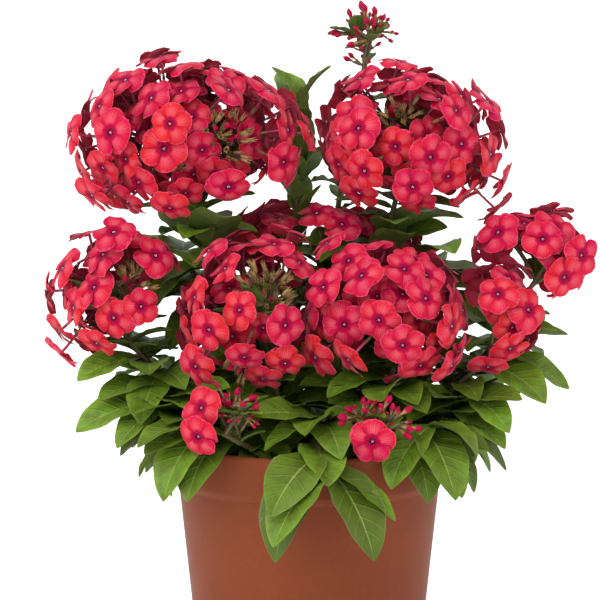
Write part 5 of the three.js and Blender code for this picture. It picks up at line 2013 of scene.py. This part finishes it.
class PhloxFlorets(bpy.types.PropertyGroup):
    """Colours of petals, tubes, anthers and buds."""

    coral: colour_property("Coral", "Petals of the warmest florets", 192, 16, 58)
    # Also painted onto florets that face up, for how the light falls on them.
    crimson: colour_property("Crimson", "Petals of the coolest florets, and the ripest buds", 170, 0, 54)
    scarlet: colour_property("Scarlet", "Petals of warm florets, and soft patches on all", 202, 34, 36)
    # Colour of the painted highlights on the petals' ends and middles, and of their pale streaks.
    edge: colour_property("Edge", "Light line at the petals' ends, and their pale middles", 222, 112, 122)
    blush: colour_property("Blush", "Rosy clouds in the petals", 184, 6, 74)
    # Colour of the fine veins, and of the painted shade along the seams between petals.
    vein_and_seam_shade: colour_property("Vein", "Fine veins and the seams between petals", 136, 2, 40)
    halo: colour_property("Halo", "Undersides of the petals, and clouds on the tubes", 206, 70, 100)
    eye: colour_property("Eye", "Star in the middle of a floret, and clouds on the buds", 146, 0, 54)
    throat: colour_property("Throat", "Mouth of the tube, and the tips of the buds", 52, 4, 26)
    # On the florets this is painted shade in the mouth of the tube; on the buds it is the colour of their
    # tips.
    tube: colour_property("Tube", "Tube behind the petals", 160, 40, 88)
    bud: colour_property("Bud", "Rolled buds", 168, 0, 56)
    anther: colour_property("Anther", "Cream anthers in the throat", 250, 240, 222)
    pollen: colour_property("Pollen", "Deeper cream patches on the anthers", 236, 210, 160)


class PhloxGreens(bpy.types.PropertyGroup):
    """Colours of leaves, stems and calyces."""

    leaf_dark: colour_property("Old leaf", "Darkest leaves", 72, 88, 22)
    leaf_light: colour_property("Young leaf", "Lightest leaves", 108, 146, 34)
    leaf_edge: colour_property("Leaf edge", "Yellow green towards the edges of light leaves", 124, 156, 44)
    leaf_under: colour_property("Leaf underside", "Duller green below", 96, 116, 58)
    leaf_vein: colour_property("Leaf vein", "Midrib, side veins and margin", 158, 176, 96)
    stalk: colour_property("Stalk", "Stems and branches", 88, 94, 42)
    flush: colour_property("Flush", "Purple brown flush on stalks and calyx teeth", 92, 36, 54)
    calyx: colour_property("Calyx", "Fresh calyces, and the ribs of the buds' sleeves", 108, 100, 56)
    dry_calyx: colour_property("Dry calyx", "Calyces without a floret, and the buds' sleeves", 182, 138, 92)


class PhloxPot(bpy.types.PropertyGroup):
    """Colours of the pot and the mix in it."""

    wall: colour_property("Wall", "Pot plastic", 121, 59, 34)
    wall_shade: colour_property("Wall shade", "Darker clouds in the plastic", 109, 51, 30)
    dust: colour_property("Dust", "Fine pale grains", 128, 78, 56)
    mix: colour_property("Mix", "Damp peat", 36, 25, 18)
    mix_light: colour_property("Light mix", "Drier crumbs", 76, 54, 38)


class PhloxStage(bpy.types.PropertyGroup):
    """Floor and lights."""

    floor: colour_property("Floor", "Studio floor", 225, 225, 225)
    key_light: light_property("Key light", "Wide soft light, front left", 1.8)
    fill_light: light_property("Fill light", "Softer light, front right", 0.3)
    room_light: light_property("Room light", "Even light from all sides", 0.92)


def build_heads(rows):
    plan = plant_plan()
    for layout in plan["heads"]:
        if layout["head"] in rows:
            build_head(layout, plan["claims"])


class PhloxFlowerHeads(bpy.types.Operator):
    """Builds the eight flower heads: florets, tubes, calyces and branches"""

    bl_idname = "phlox.flower_heads"
    bl_label = "Flower heads"

    def execute(self, context):
        build_heads(HEADS)
        return {"FINISHED"}


class PhloxBudHeads(bpy.types.Operator):
    """Builds the three heads that are still in bud"""

    bl_idname = "phlox.bud_heads"
    bl_label = "Bud heads"

    def execute(self, context):
        build_heads(BUD_HEADS)
        return {"FINISHED"}


class PhloxLeafyStems(bpy.types.Operator):
    """Builds every stem with its pairs of leaves"""

    bl_idname = "phlox.leafy_stems"
    bl_label = "Leafy stems"

    def execute(self, context):
        for index, line in enumerate(plant_plan()["lines"]):
            build_stem(line, index)
        return {"FINISHED"}


class PhloxNurseryPot(bpy.types.Operator):
    """Builds the turned pot with its collar and drain holes"""

    bl_idname = "phlox.nursery_pot"
    bl_label = "Nursery pot"

    def execute(self, context):
        build_pot_piece()
        return {"FINISHED"}


class PhloxPottingMix(bpy.types.Operator):
    """Builds the mix and its crumbs"""

    bl_idname = "phlox.potting_mix"
    bl_label = "Potting mix"

    def execute(self, context):
        build_mix_piece()
        return {"FINISHED"}


class PhloxStudio(bpy.types.Operator):
    """Builds the floor, the lights and the camera"""

    bl_idname = "phlox.studio"
    bl_label = "Studio"

    def execute(self, context):
        stage = context.scene.phlox_stage
        build_camera()
        build_floor()
        build_light("key_light", KEY_LIGHT_PLACE, KEY_LIGHT_SPREAD, stage.key_light)
        build_light("fill_light", FILL_LIGHT_PLACE, FILL_LIGHT_SPREAD, stage.fill_light)
        build_room_light(stage.room_light)
        context.scene.view_settings.view_transform = "Standard"
        return {"FINISHED"}


class PhloxPanel(bpy.types.Panel):
    """Lists what builds the potted phlox"""

    bl_idname = "PHLOX_PT_pieces"
    bl_label = "Potted phlox"
    bl_space_type = "VIEW_3D"
    bl_region_type = "UI"
    bl_category = "Phlox"

    def draw(self, context):
        for operator in OPERATORS:
            self.layout.operator(operator.bl_idname)
        for group in SETTINGS:
            settings = getattr(context.scene, group)
            for label in settings.bl_rna.properties.keys():
                if label not in ("rna_type", "name"):
                    self.layout.prop(settings, label)


OPERATORS = (PhloxFlowerHeads, PhloxBudHeads, PhloxLeafyStems, PhloxNurseryPot, PhloxPottingMix, PhloxStudio)
SETTINGS = {"phlox_florets": PhloxFlorets, "phlox_greens": PhloxGreens, "phlox_pot": PhloxPot,
            "phlox_stage": PhloxStage}


def register():
    for cls in (*SETTINGS.values(), *OPERATORS, PhloxPanel):
        bpy.utils.register_class(cls)
    for label, group in SETTINGS.items():
        setattr(bpy.types.Scene, label, bpy.props.PointerProperty(type=group))


def unregister():
    for label in SETTINGS:
        delattr(bpy.types.Scene, label)
    for cls in reversed((*SETTINGS.values(), *OPERATORS, PhloxPanel)):
        bpy.utils.unregister_class(cls)


def main():
    register()
    bpy.ops.phlox.flower_heads()
    bpy.ops.phlox.bud_heads()
    bpy.ops.phlox.leafy_stems()
    bpy.ops.phlox.nursery_pot()
    bpy.ops.phlox.potting_mix()
    bpy.ops.phlox.studio()


if __name__ == "__main__":
    main()
